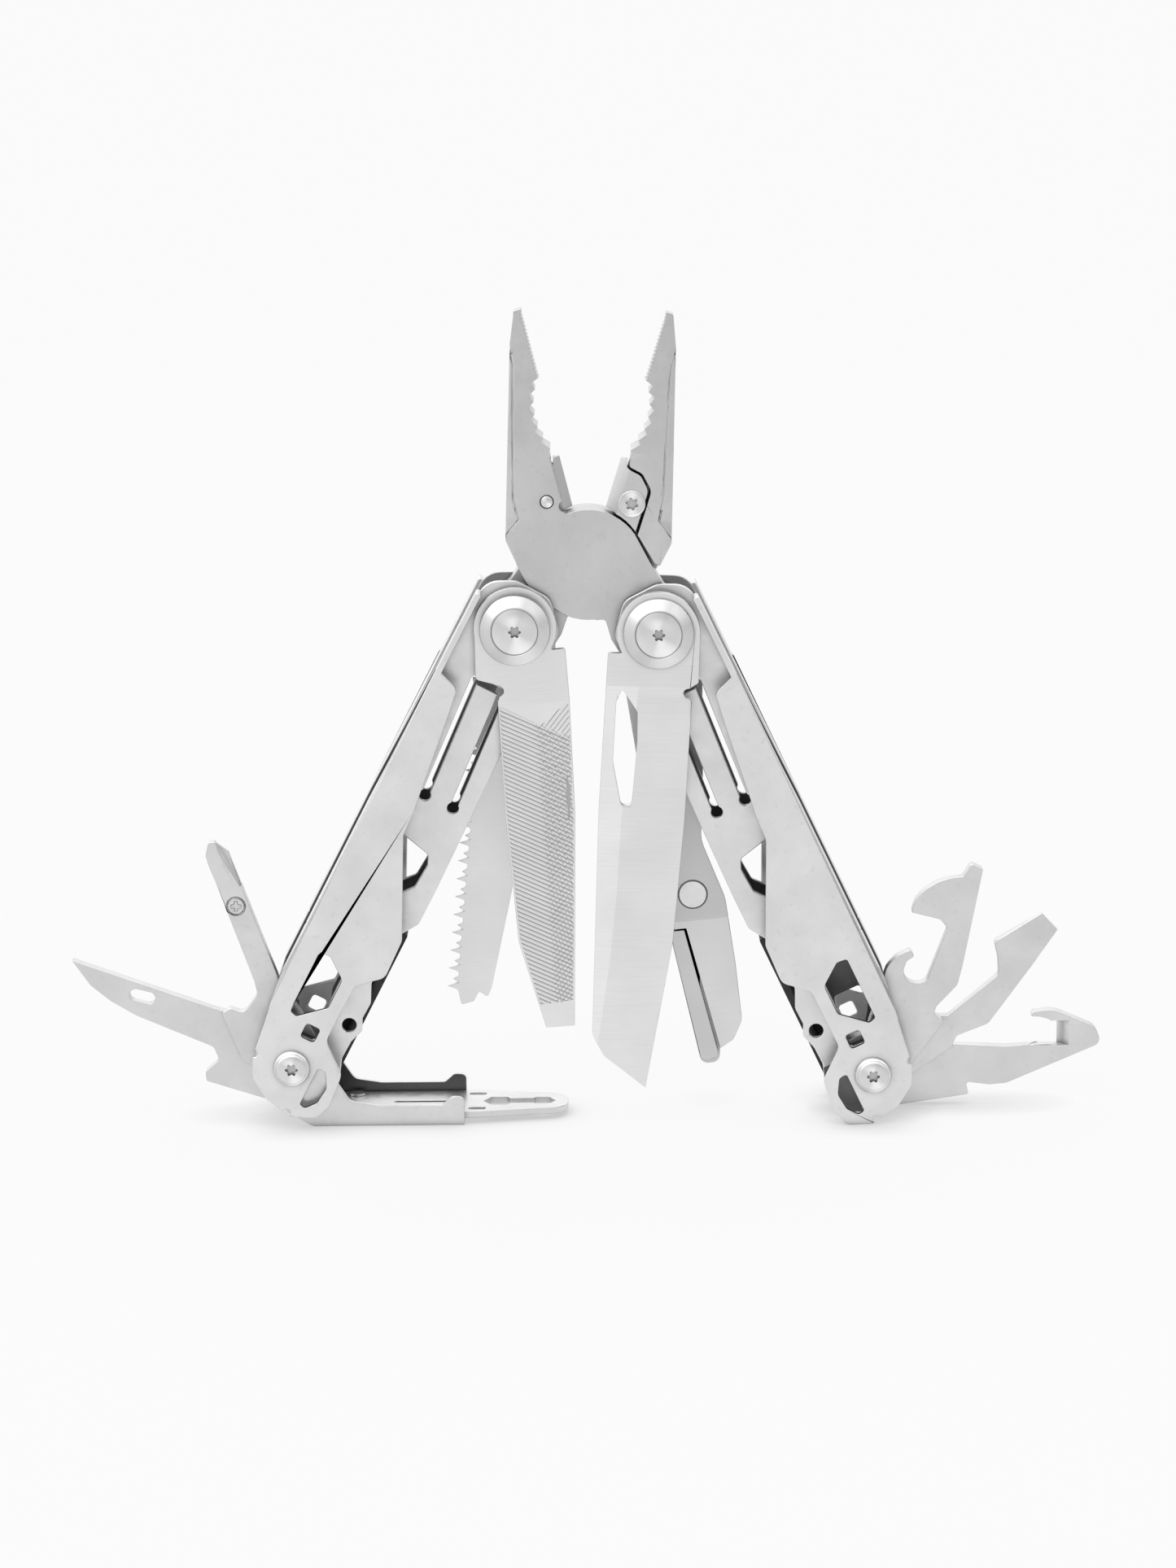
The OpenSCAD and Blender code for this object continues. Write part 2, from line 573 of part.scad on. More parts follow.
module tray_rivets() color(bright) placed(left_foot, 0) for (p = rivet_places)
    translate([p.x, p.y, tray_floor + tray_wall]) {
        cylinder(r = 0.9, h = tongue_thickness + 0.1, $fn = round_fn);
        translate([0, 0, tongue_thickness]) cylinder(r = 1.5, h = 0.4, $fn = round_fn);
    }

can_y = -4.0;
flat_y = -1.3;
hook_y = 1.4;
module can_outline() difference() {
    polygon(concat(
        arc([0, 0], tool_tang, -14, -260),
        rounded([[-0.9, 6.5], [1.8, 14.6, 5], [2.7, 18.4, 4], [4.7, 20.7, 3], [7.2, 21.8, 0.6],
            [7.9, 20.5, 0.4], [6.5, 19.6, 1.2], [5.8, 17.6, 2], [6.7, 15.9, 1.5], [8.6, 15.3, 2],
            [10.2, 16.1, 1.2], [13.9, 25.8, 1], [12.6, 27.4, 0.6], [7.3, 28.8, 0.3],
            [7.9, 31, 4], [9.5, 32.9, 4], [11.8, 34.4, 4], [14.4, 35.2, 4], [16.6, 35.4],
            [18.1, 37.8, 0.5], [20.3, 36.8, 0.5], [16.7, 18.6], [15.8, 15, 1.5], [12, 11, 1.2],
            [11.6, 9.6, 0.5], [13.4, 8.2, 0.4], [6.2, -1.3]])));
    tool_bore();
}
module flat_outline() difference() {
    polygon(concat(
        arc([0, 0], tool_tang, -51, -225),
        rounded([[3, 9], [14.4, 8.4, 0.3], [23.6, 16.2, 1], [23.4, 19.4, 1.5], [22.7, 22.4, 1],
            [31.4, 27.6, 0.3], [34.4, 24.4, 0.3], [21.8, 6.9, 2], [16, 4.6, 1], [15, 2.4, 0.6],
            [4.2, -4.9]])));
    tool_bore();
}
module hook_outline() difference() {
    polygon(concat(
        arc([0, 0], tool_tang, 240, 90),
        rounded([[0.5, 6.3], [12, 4.8, 1], [15.6, 2.2, 1], [25.3, 1.7], [32.6, 2.1],
            [33.7, 2.6, 0.5], [34.3, 4.5, 2], [33.4, 6.8, 0.6], [31.6, 7.3], [29.8, 7.4, 0.2],
            [30.4, 8.3, 0.6], [34, 8.8, 6], [41.8, 5.4, 2.2], [43, 2.2, 1.4], [25.6, -5.3, 3], [22.4, -5.6, 1.5], [18, -5, 0.5],
            [18.6, -7.4, 0.4], [5.4, -9.3, 2], [-2.8, -5.8]])));
    tool_bore();
}
module can_opener() color(steel) placed(right_foot, 0)
    plate(can_y, can_y + tool_thickness) can_outline();
module flat_driver() color(steel) placed(right_foot, 0)
    plate(flat_y, flat_y + tool_thickness) flat_outline();
module hook_blade() color(steel) placed(right_foot, 0)
    plate(hook_y, hook_y + tool_thickness) hook_outline();

washer_radius = 4;
module left_bottom_washers() color(bright) left_place() {
    both_sides() {
        ring(foot, washer_radius, bottom_pin_radius, gap - tray_inner, -liner_outer);
        ring(foot, washer_radius, bottom_pin_radius, -cover_inner, -tray_outer - gap);
    }
    ring(foot, washer_radius, bottom_pin_radius, awl_y + tool_thickness + gap, channel_half);
}
module right_bottom_washers() color(bright) right_place() both_sides()
    ring(foot, washer_radius, bottom_pin_radius, -cover_inner, -liner_outer);

plier_front_jaw();
plier_rear_jaw();
plier_pivot_pin();
left_cutter();
right_cutter();
left_cutter_screw();
right_cutter_screw();
left_liner_front();
left_liner_rear();
left_spine();
left_cover_front();
left_cover_rear();
left_lock_plate_front();
left_lock_plate_rear();
left_back_spring();
left_top_pin();
left_top_cap_front();
left_top_cap_rear();
left_top_washers();
left_bottom_pin();
left_bottom_screws();
left_bottom_washers();
right_liner_front();
right_liner_rear();
right_spine();
right_cover_front();
right_cover_rear();
right_lock_plate_front();
right_lock_plate_rear();
right_back_spring();
right_top_pin();
right_top_cap_front();
right_top_cap_rear();
right_top_washers();
right_bottom_pin();
right_bottom_screws();
right_bottom_washers();
file();
saw();
knife();
scissors_blade();
scissors_lever();
scissors_rivet();
scissors_spring();
awl();
phillips_driver();
wrench_tray();
wrench_tongue();
tray_rivets();
can_opener();
flat_driver();
hook_blade();
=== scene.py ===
"""Looks of a folding multi tool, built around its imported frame.

Places come from the frame and are in metres. Outlines and details are in millimetres, drawn
from each part's own pin as it hangs straight down: X across the part and Z along it.
"""
import json
import math

import bmesh
import bpy
from mathutils import Matrix, Vector
from mathutils.bvhtree import BVHTree


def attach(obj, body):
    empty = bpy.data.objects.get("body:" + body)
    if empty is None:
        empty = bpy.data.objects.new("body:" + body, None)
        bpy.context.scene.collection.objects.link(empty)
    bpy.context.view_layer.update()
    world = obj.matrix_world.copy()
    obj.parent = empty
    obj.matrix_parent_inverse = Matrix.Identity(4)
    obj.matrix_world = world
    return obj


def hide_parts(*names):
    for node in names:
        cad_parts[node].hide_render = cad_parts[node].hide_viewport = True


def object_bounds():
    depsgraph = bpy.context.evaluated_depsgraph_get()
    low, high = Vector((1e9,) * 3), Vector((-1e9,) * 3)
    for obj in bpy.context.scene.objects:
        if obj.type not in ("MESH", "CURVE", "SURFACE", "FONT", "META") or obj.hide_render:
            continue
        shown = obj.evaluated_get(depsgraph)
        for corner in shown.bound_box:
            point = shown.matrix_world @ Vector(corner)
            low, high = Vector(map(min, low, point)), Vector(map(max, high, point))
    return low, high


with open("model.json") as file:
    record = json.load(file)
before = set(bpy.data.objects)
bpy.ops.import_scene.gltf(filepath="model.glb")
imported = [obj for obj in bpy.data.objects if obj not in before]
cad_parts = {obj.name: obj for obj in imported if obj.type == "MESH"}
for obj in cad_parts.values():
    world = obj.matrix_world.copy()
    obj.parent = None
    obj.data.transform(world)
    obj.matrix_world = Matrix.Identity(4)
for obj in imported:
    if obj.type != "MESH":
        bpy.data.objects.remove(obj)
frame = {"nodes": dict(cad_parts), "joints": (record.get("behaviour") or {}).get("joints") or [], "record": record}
cad_low, cad_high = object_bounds()

MM = 0.001
RECORD = frame["record"]
JOINTS = {j["name"]: j for j in frame["joints"]}
BODY = {node: body for body, group in RECORD["behaviour"]["bodies"].items() for node in group}
SLOT = {part["node"]: part["material_slot"] for part in RECORD["subparts"]}


# ---- Places ----

def pin(joint):
    return Vector(JOINTS[joint]["pos_m"])


def lean(top, bottom):
    """Anticlockwise turn, in degrees, of a part that hangs from one point towards another."""
    way = bottom - top
    return math.degrees(math.atan2(way.x, -way.z))


def place(at, turn=0.0):
    """The frame of a part at its pin, turned anticlockwise as seen from the front."""
    return Matrix.Translation(at) @ Matrix.Rotation(math.radians(-turn), 4, "Y")


MIRROR = Matrix.Scale(-1, 4, (1, 0, 0))
LEFT, RIGHT = pin("left_handle_fold"), pin("right_handle_fold")
LEFT_FOOT, RIGHT_FOOT = pin("tray_pivot"), pin("hook_pivot")
LEFT_HANDLE = place(LEFT, lean(LEFT, LEFT_FOOT))
RIGHT_HANDLE = place(RIGHT, lean(RIGHT, RIGHT_FOOT))
JAW_OPEN, HEAD_LEAN = 15.8, 1.8  # degrees that each jaw is open, and that the head leans
FRONT_JAW = place(pin("jaw_pivot"), JAW_OPEN - HEAD_LEAN)
REAR_JAW = place(pin("jaw_pivot"), -JAW_OPEN - HEAD_LEAN)
# The outer tools hang nearly straight down: turn of each in degrees
FILE = place(LEFT, 6.0)
SAW = place(LEFT, -5.4)
KNIFE = place(RIGHT, -2.1)
SCISSORS = place(RIGHT, 5.8)


# ---- Materials ----

# Noise scales, per metre
CLOUDS, TURNED_CLOUDS, FLOOR_CLOUDS = 90, 260, 30
PATCHES, TURNED_PATCHES, SPECKS = 420, 700, 900
BLACK_CLOUDS, BLACK_GRAIN = 500, 5000

# Painted shade in narrow gaps: how far it reaches in millimetres, and the share of the colour left in it
GAP_SHADE_REACH, GAP_SHADE_LOW = 1.3, 0.42


def new_node(tree, kind, inputs=None, **settings):
    node = tree.nodes.new(kind)
    for key, value in settings.items():
        setattr(node, key, value)
    for key, value in (inputs or {}).items():
        node.inputs[key].default_value = value
    return node


def noise(tree, vector, scale, detail=2.0, roughness=0.5):
    node = new_node(tree, "ShaderNodeTexNoise",
                    {"Scale": scale, "Detail": detail, "Roughness": roughness})
    tree.links.new(vector, node.inputs["Vector"])
    return node.outputs["Fac"]


def stretched(tree, vector, scale):
    node = new_node(tree, "ShaderNodeMapping", {"Scale": scale})
    tree.links.new(vector, node.inputs["Vector"])
    return node.outputs["Vector"]


def ranged(tree, value, low, high, from_low=0.3, from_high=0.7):
    node = new_node(tree, "ShaderNodeMapRange", {"From Min": from_low, "From Max": from_high,
                                                 "To Min": low, "To Max": high})
    tree.links.new(value, node.inputs["Value"])
    return node.outputs["Result"]


def calc(tree, operation, a, b=None):
    node = new_node(tree, "ShaderNodeMath", operation=operation)
    for socket, value in zip(node.inputs, (a, b)):
        if isinstance(value, (int, float)):
            socket.default_value = value
        elif value is not None:
            tree.links.new(value, socket)
    return node.outputs["Value"]


def bumped(tree, shader, height, distance):
    node = new_node(tree, "ShaderNodeBump", {"Distance": distance})
    tree.links.new(height, node.inputs["Height"])
    tree.links.new(node.outputs["Normal"], shader.inputs["Normal"])


def tinted(tree, shader, value, colour, spread):
    """The colour varies by this share between its dull and its bright patches."""
    ramp = new_node(tree, "ShaderNodeValToRGB")
    ramp.color_ramp.elements[0].position = 0.35
    ramp.color_ramp.elements[1].position = 0.65
    for element, share in zip(ramp.color_ramp.elements, (1 - spread, 1 + spread)):
        element.color = (*[c * share for c in colour], 1)
    tree.links.new(value, ramp.inputs["Fac"])
    tree.links.new(ramp.outputs["Color"], shader.inputs["Base Color"])


def metal(name, metallic=1.0):
    """A new material, and the place on the part as it hangs straight, in metres from its pin."""
    material = bpy.data.materials.new(name)
    material.use_nodes = True
    tree = material.node_tree
    shader = tree.nodes["Principled BSDF"]
    shader.inputs["Metallic"].default_value = metallic
    place_in = new_node(tree, "ShaderNodeAttribute", attribute_name="part_place").outputs["Vector"]
    return material, tree, shader, place_in


def axis_of(tree, vector, axis):
    node = new_node(tree, "ShaderNodeSeparateXYZ")
    tree.links.new(vector, node.inputs["Vector"])
    return node.outputs[axis]


def shaded(tree, shader, share):
    """Darkens the colour to a share of itself that depends on the place."""
    link = shader.inputs["Base Color"].links[0]
    node = new_node(tree, "ShaderNodeVectorMath", operation="SCALE")
    tree.links.new(link.from_socket, node.inputs[0])
    tree.links.new(share, node.inputs["Scale"])
    tree.links.new(node.outputs["Vector"], shader.inputs["Base Color"])


def gap_shaded(tree, shader):
    """Painted shade: narrow gaps and the foot of a step are darker than open faces."""
    node = new_node(tree, "ShaderNodeAmbientOcclusion", {"Distance": GAP_SHADE_REACH * MM}, samples=6)
    shaded(tree, shader, ranged(tree, node.outputs["AO"], GAP_SHADE_LOW, 1.0, 0.25, 0.9))


def band(tree, value, start, full, end, low):
    """One outside a band of values and low inside it, with a soft start."""
    rise = ranged(tree, value, 1.0, low, start, full)
    over = calc(tree, "GREATER_THAN", value, end)
    return calc(tree, "MAXIMUM", rise, over)


DIMPLE_DEPTH = 0.008
INNER_BAND = 0.00015  # metres over which an inner face turns into an outer one
INNER_TOP, INNER_FULL = -0.008, -0.02  # metres below the top pin; the painted shade on inner faces deepens in between
INNER_SHADE_LIGHT, INNER_SHADE_DARK = 0.5, 0.2


def blasted_steel(name, colour, rough, grain=0.16, inner=None):
    """Bead-blasted stainless steel: fine round dimples, soft clouds and small dark specks.

    Grain is the size of the dimples in millimetres. The inner faces of a channel, nearer to the
    middle plane than inner, get painted shade, deeper lower down.
    """
    material, tree, shader, at = metal(name)
    tinted(tree, shader, noise(tree, at, CLOUDS, 4, 0.62), colour, 0.05)
    fine = noise(tree, at, 1 / (grain * MM), 2)
    specks = ranged(tree, noise(tree, at, SPECKS, 2), 1.0, 0.93, 0.62, 0.75)
    shaded(tree, shader, specks)
    # Painted shade on a channel's inner faces, deeper lower down the handle
    if inner:
        outer = ranged(tree, calc(tree, "ABSOLUTE", axis_of(tree, at, "Y")), 0, 1,
                       inner, inner + INNER_BAND)
        least = ranged(tree, axis_of(tree, at, "Z"), INNER_SHADE_DARK, INNER_SHADE_LIGHT,
                       INNER_FULL, INNER_TOP)
        shaded(tree, shader, calc(tree, "MAXIMUM", outer, least))
    # Painted shade in narrow gaps
    gap_shaded(tree, shader)
    patches = noise(tree, at, PATCHES, 4, 0.6)
    tree.links.new(ranged(tree, patches, rough - 0.05, rough + 0.06), shader.inputs["Roughness"])
    bumped(tree, shader, fine, DIMPLE_DEPTH * MM)
    return material


# Grinding lines: millimetres across and along a line, and its depth
LINE_ACROSS, LINE_ALONG, LINE_DEPTH = 0.11, 7.0, 0.004
GROOVE_SHADE_LOW = 0.58


def ground_steel(name, colour, rough, groove=None):
    """Blade steel with the fine straight lines of its grinding across the blade.

    A groove is a band of depths behind the middle plane that is painted with shade in the cuts.
    """
    material, tree, shader, at = metal(name)
    tinted(tree, shader, noise(tree, at, CLOUDS, 3), colour, 0.03)
    along, across = 1 / (LINE_ALONG * MM), 1 / (LINE_ACROSS * MM)
    lines = noise(tree, stretched(tree, at, (along, along, across)), 1.0, 3)
    shaded(tree, shader, ranged(tree, lines, 0.95, 1.03))
    # Painted shade in narrow gaps
    gap_shaded(tree, shader)
    # Painted shade deep in the cuts
    if groove:
        shaded(tree, shader, band(tree, axis_of(tree, at, "Y"), *groove, GROOVE_SHADE_LOW))
    tree.links.new(ranged(tree, lines, rough - 0.05, rough + 0.05), shader.inputs["Roughness"])
    bumped(tree, shader, lines, LINE_DEPTH * MM)
    return material


RING_PITCH, RING_DEPTH = 0.22, 0.0015  # millimetres between the lathe's rings, and their depth
HIGHLIGHT_TURN = 2.27  # radians by which the two painted highlight streaks are turned about the pin, doubled
CAP_GROOVE = (4.04, 4.08, 4.24)  # radii where the painted shade in a cap's groove starts, is darkest and ends
CAP_GROOVE_SHADE = 0.55
CAP_RIM = (4.2, 4.3)  # radii between which a cap's colour darkens towards its rim
CAP_RIM_LOW = 0.88


def turned_steel(name, colour, rough):
    """Lathe-turned steel: rings about the pin, with two painted highlight streaks and painted shade between them.
    """
    material, tree, shader, at = metal(name)
    squares = [calc(tree, "MULTIPLY", axis_of(tree, at, axis), axis_of(tree, at, axis))
               for axis in "XZ"]
    radius = calc(tree, "SQRT", calc(tree, "ADD", *squares))
    rings = calc(tree, "SINE", calc(tree, "MULTIPLY", radius, math.tau / (RING_PITCH * MM)))
    tinted(tree, shader, noise(tree, at, TURNED_CLOUDS, 2), colour, 0.03)
    shaded(tree, shader, ranged(tree, rings, 0.94, 1.0, -1, 1))
    # Painted highlights: two pale streaks across the face, with painted shade between them
    angle = calc(tree, "ARCTAN2", axis_of(tree, at, "X"), axis_of(tree, at, "Z"))
    doubled = calc(tree, "ADD", calc(tree, "MULTIPLY", angle, 2.0), HIGHLIGHT_TURN)
    highlight_streaks = calc(tree, "SINE", doubled)
    shaded(tree, shader, ranged(tree, highlight_streaks, 0.86, 1.14, 0.1, 1.0))
    shaded(tree, shader, ranged(tree, radius, 1.0, CAP_RIM_LOW, *(r * MM for r in CAP_RIM)))
    # Painted shade in the cap's groove
    shaded(tree, shader, band(tree, radius, *(r * MM for r in CAP_GROOVE), CAP_GROOVE_SHADE))
    tree.links.new(ranged(tree, noise(tree, at, TURNED_PATCHES, 2), rough - 0.03, rough + 0.04),
                   shader.inputs["Roughness"])
    shader.inputs["Anisotropic"].default_value = 0.8
    tangent = new_node(tree, "ShaderNodeTangent", direction_type="RADIAL", axis="Y")
    tree.links.new(tangent.outputs["Tangent"], shader.inputs["Tangent"])
    bumped(tree, shader, rings, RING_DEPTH * MM)
    return material


BLACK_GRAIN_DEPTH = 0.004


def shadow_black_steel(name):
    """Spring steel painted near black as shade, for the inner parts of the handles that lie in deep shadow."""
    material, tree, shader, at = metal(name, 0.6)
    tinted(tree, shader, noise(tree, at, BLACK_CLOUDS, 3), (0.035, 0.035, 0.038), 0.25)
    grain = noise(tree, at, BLACK_GRAIN, 2)
    tree.links.new(ranged(tree, grain, 0.45, 0.6), shader.inputs["Roughness"])
    bumped(tree, shader, grain, BLACK_GRAIN_DEPTH * MM)
    return material


FLOOR_WHITE = 0.05
FLOOR_GLOW = 0.897  # a lit white table: most of its brightness is its own
SHADOW_REACH = 9  # millimetres
SHADOW_LOW = 0.62


def floor_paper():
    material, tree, shader, _ = metal("floor_paper", 0.0)
    at = new_node(tree, "ShaderNodeTexCoord").outputs["Object"]
    tinted(tree, shader, noise(tree, at, FLOOR_CLOUDS, 2), (FLOOR_WHITE,) * 3, 0.004)
    shader.inputs["Roughness"].default_value = 0.85
    shader.inputs["Specular IOR Level"].default_value = 0.0
    shader.inputs["Emission Color"].default_value = (1, 1, 1, 1)
    # Painted shadow: colour and glow darken near the tool, as a contact shadow
    near = new_node(tree, "ShaderNodeAmbientOcclusion", {"Distance": SHADOW_REACH * MM}, samples=8)
    share = ranged(tree, near.outputs["AO"], SHADOW_LOW, 1.0, 0.3, 0.98)
    shaded(tree, shader, share)
    tree.links.new(calc(tree, "MULTIPLY", share, FLOOR_GLOW), shader.inputs["Emission Strength"])
    return material


SHADED_INNER_FACES = 0.00443  # metres from the middle plane to where the painted shade on a handle's inner faces ends
CUT_SHADE_DEPTHS = (-0.00736, -0.00728, -0.0071)  # the depths in the file's cuts that are painted with shade

FINISH = {
    "plier_steel": blasted_steel("plier_steel", (0.60,) * 3, 0.38),
    "cutter_steel": ground_steel("cutter_steel", (0.62,) * 3, 0.34),
    "handle_steel": blasted_steel("handle_steel", (0.745,) * 3, 0.38, inner=SHADED_INNER_FACES),
    "blade_steel": ground_steel("blade_steel", (0.77,) * 3, 0.34),
    "tool_steel": blasted_steel("tool_steel", (0.68,) * 3, 0.36, 0.2),
    "tray_steel": blasted_steel("tray_steel", (0.70,) * 3, 0.32, 0.25),
    "turned_steel": turned_steel("turned_steel", (0.85,) * 3, 0.30),
    # Painted shade: the inner springs are made near black
    "dark_spring_steel": shadow_black_steel("dark_spring_steel"),
}
# Pieces whose finish differs a little from the rest of their slot; the lever's and the spines' are darker as
# painted shade, and the file's has painted shade in its cuts
OWN_FINISH = {
    "file": ground_steel("file_steel", (0.79,) * 3, 0.36, groove=CUT_SHADE_DEPTHS),
    "scissors_blade": ground_steel("scissors_steel", (0.72,) * 3, 0.38),
    # Painted shade: the lever is coloured darker than the blade, as it lies in shadow
    "scissors_lever": ground_steel("lever_shade_steel", (0.63,) * 3, 0.38),
    # Painted shade: the spines are coloured darker, as they lie in shadow
    "left_spine": blasted_steel("spine_shade_steel", (0.60,) * 3, 0.4),
}
OWN_FINISH["right_spine"] = OWN_FINISH["left_spine"]
# What the marked faces of a piece are given: the knife's flat its own finish, the scissors' tang and the tray's
# inside painted shade
SECOND_FINISH = {
    "knife": ground_steel("knife_flat_steel", (0.85,) * 3, 0.36),
    # Painted shade on the scissors' tang
    "scissors_blade": ground_steel("scissors_tang_shade_steel", (0.6,) * 3, 0.38),
    # Painted shade inside the tray
    "wrench_tray": blasted_steel("tray_inner_shade_steel", (0.15,) * 3, 0.34),
}
# Painted shade for the inside of drive recesses
RECESS_SHADE = blasted_steel("recess_shade_steel", (0.6,) * 3, 0.25)
# Painted shade for opening walls and what shows through them
OPENING_SHADE = blasted_steel("opening_shade_steel", (0.15,) * 3, 0.4)


# ---- Meshes ----

SHARP = 32  # degrees between two faces whose edge is rounded
CREASE = 48  # degrees between two faces that are shaded apart


def solid(node, local, mirrored=False):
    """A CAD node in its own millimetres, welded, with its flat faces joined."""
    bm = bmesh.new()
    bm.from_mesh(frame["nodes"][node].data)
    bm.transform(local.inverted())
    bm.transform(Matrix.Scale(1 / MM, 4))
    if mirrored:
        bm.transform(MIRROR)
        bmesh.ops.reverse_faces(bm, faces=bm.faces)
    bmesh.ops.remove_doubles(bm, verts=bm.verts, dist=0.01)
    bmesh.ops.dissolve_limit(bm, angle_limit=math.radians(0.6), verts=bm.verts, edges=bm.edges)
    return bm


def facing(bm, side):
    """The faces that look forwards (-1) or backwards (1)."""
    return [f for f in bm.faces if f.normal.y * side > 0.7]


def cut(bm, a, b, crisp=True, side=0):
    """Cuts the faces along the line through two points, with a crease between the two."""
    start, way = Vector((a[0], 0, a[1])), Vector((b[0] - a[0], 0, b[1] - a[1]))
    length = way.length
    way.normalize()
    faces = facing(bm, side) if side else bm.faces[:]
    geometry = list({v for f in faces for v in f.verts}) + \
        list({e for f in faces for e in f.edges}) + faces
    done = bmesh.ops.bisect_plane(bm, geom=geometry, plane_co=start,
                                  plane_no=(way.z, 0, -way.x), dist=1e-3)
    for part in done["geom_cut"]:
        if crisp and isinstance(part, bmesh.types.BMEdge):
            along_way = ((part.verts[0].co + part.verts[1].co) / 2 - start).dot(way)
            part.seam = part.seam or 0 < along_way < length
    bm.normal_update()


def grid(bm, x_from, x_to, x_step, z_from, z_to, z_step):
    """Cuts the faces into small cells, so that they can be curved."""
    for i in range(int((x_to - x_from) / x_step) + 1):
        cut(bm, (x_from + i * x_step, 0), (x_from + i * x_step, 1), False)
    for i in range(int((z_to - z_from) / z_step) + 1):
        cut(bm, (0, z_from + i * z_step), (1, z_from + i * z_step), False)


def along(points, z):
    """The X of a run of points at a height; the points go downwards."""
    if z >= points[0][1]:
        return points[0][0]
    for (x0, z0), (x1, z1) in zip(points, points[1:]):
        if z >= z1:
            return x0 + (x1 - x0) * (z - z0) / (z1 - z0)
    return points[-1][0]


def smooth(t):
    t = min(max(t, 0.0), 1.0)
    return t * t * (3 - 2 * t)


def thin(bm, share):
    """Moves both faces of a blade towards its middle, to a share of its thickness."""
    ys = [v.co.y for v in bm.verts]
    middle = (min(ys) + max(ys)) / 2
    for v in bm.verts:
        v.co.y = middle + (v.co.y - middle) * share(v.co.x, v.co.z)


def sink(bm, depth, side=-1):
    """Lowers a face of a plate by a depth that depends on the place."""
    for v in {v for f in facing(bm, side) for v in f.verts}:
        v.co.y -= side * depth(v.co.x, v.co.z)


def prism(points, y0, y1):
    """A block with this outline in XZ, between two distances behind the middle plane."""
    bm = bmesh.new()
    base = bm.faces.new([bm.verts.new((x, y0, z)) for x, z in points])
    raised = bmesh.ops.extrude_face_region(bm, geom=[base])["geom"]
    moved = [v for v in raised if isinstance(v, bmesh.types.BMVert)]
    bmesh.ops.translate(bm, verts=moved, vec=(0, y1 - y0, 0))
    bmesh.ops.recalc_face_normals(bm, faces=bm.faces)
    return bm


def ring_points(x, z, radius, sides=48):
    return [(x + radius * math.cos(math.tau * i / sides),
             z + radius * math.sin(math.tau * i / sides)) for i in range(sides)]


def star_points(radius, sides=72):
    """Outline of a six-lobed drive recess."""
    return [(r * math.cos(a), r * math.sin(a)) for i in range(sides)
            for a in [math.tau * i / sides]
            for r in [radius * (0.84 + 0.16 * math.cos(6 * a))]]


def lathe(profile, sides=96):
    """A turned solid about Y; the profile is radius and Y, from the axis out and back to it."""
    bm = bmesh.new()
    rings = []
    for radius, y in profile:
        around = sides if radius > 0 else 1
        rings.append([bm.verts.new((radius * math.cos(math.tau * i / sides), y,
                                    radius * math.sin(math.tau * i / sides)))
                      for i in range(around)])
    for low, high in zip(rings, rings[1:]):
        for i in range(sides):
            a, b = low[i % len(low)], low[(i + 1) % len(low)]
            c, d = high[(i + 1) % len(high)], high[i % len(high)]
            bm.faces.new(list(dict.fromkeys((a, b, c, d))))
    bmesh.ops.recalc_face_normals(bm, faces=bm.faces)
    return bm


def as_object(bm):
    mesh = bpy.data.meshes.new("working")
    bm.to_mesh(mesh)
    bm.free()
    made = bpy.data.objects.new("working", mesh)
    bpy.context.scene.collection.objects.link(made)
    return made


def carved(bm, *tools):
    """The mesh with each tool's volume taken out."""
    body, cutters = as_object(bm), [as_object(t) for t in tools]
    for cutter in cutters:
        taken = body.modifiers.new("carve", "BOOLEAN")
        taken.operation, taken.solver, taken.object = "DIFFERENCE", "EXACT", cutter
    bpy.context.view_layer.update()
    mesh = bpy.data.meshes.new_from_object(body.evaluated_get(
        bpy.context.evaluated_depsgraph_get()))
    out = bmesh.new()
    out.from_mesh(mesh)
    for thing in [body, *cutters]:
        bpy.data.objects.remove(thing)
    bmesh.ops.remove_doubles(out, verts=out.verts, dist=0.002)
    return out


def joined(*parts):
    """One mesh of several."""
    out = bmesh.new()
    for bm in parts:
        mesh = bpy.data.meshes.new("part")
        bm.to_mesh(mesh)
        bm.free()
        out.from_mesh(mesh)
    return out


MERGE = 0.03  # points of an outline nearer than this are one
WIDE_EDGE = 0.5  # an edge wider than this is rounded with more segments


def soften(bm, width, wide=None):
    """Rounds the sharp edges; wide(edge) may give an edge a width of its own."""
    bmesh.ops.remove_doubles(bm, verts=bm.verts, dist=MERGE)
    bm.normal_update()
    skin = BVHTree.FromBMesh(bm)
    groups = {}
    for edge in bm.edges:
        if edge.is_manifold and edge.calc_face_angle(0) > math.radians(SHARP):
            own = wide(edge) if wide else None
            groups.setdefault(own if own is not None else width, []).append(edge)
    for own in sorted(groups, reverse=True):
        edges = [e for e in groups[own] if e.is_valid]
        if own > 0:
            bmesh.ops.bevel(bm, geom=edges, offset=own, offset_type="OFFSET",
                            segments=5 if own > WIDE_EDGE else 2, profile=0.5, affect="EDGES",
                            clamp_overlap=False, loop_slide=True)
    # A bevel that runs past a short edge is brought back to the surface it came from
    for v in bm.verts:
        near, normal, _, away = skin.find_nearest(v.co)
        if away > 1.2 * width and not wide or (v.co - near).dot(normal) > 0.01:
            v.co = near
    bmesh.ops.dissolve_degenerate(bm, edges=bm.edges, dist=0.004)
    return bm


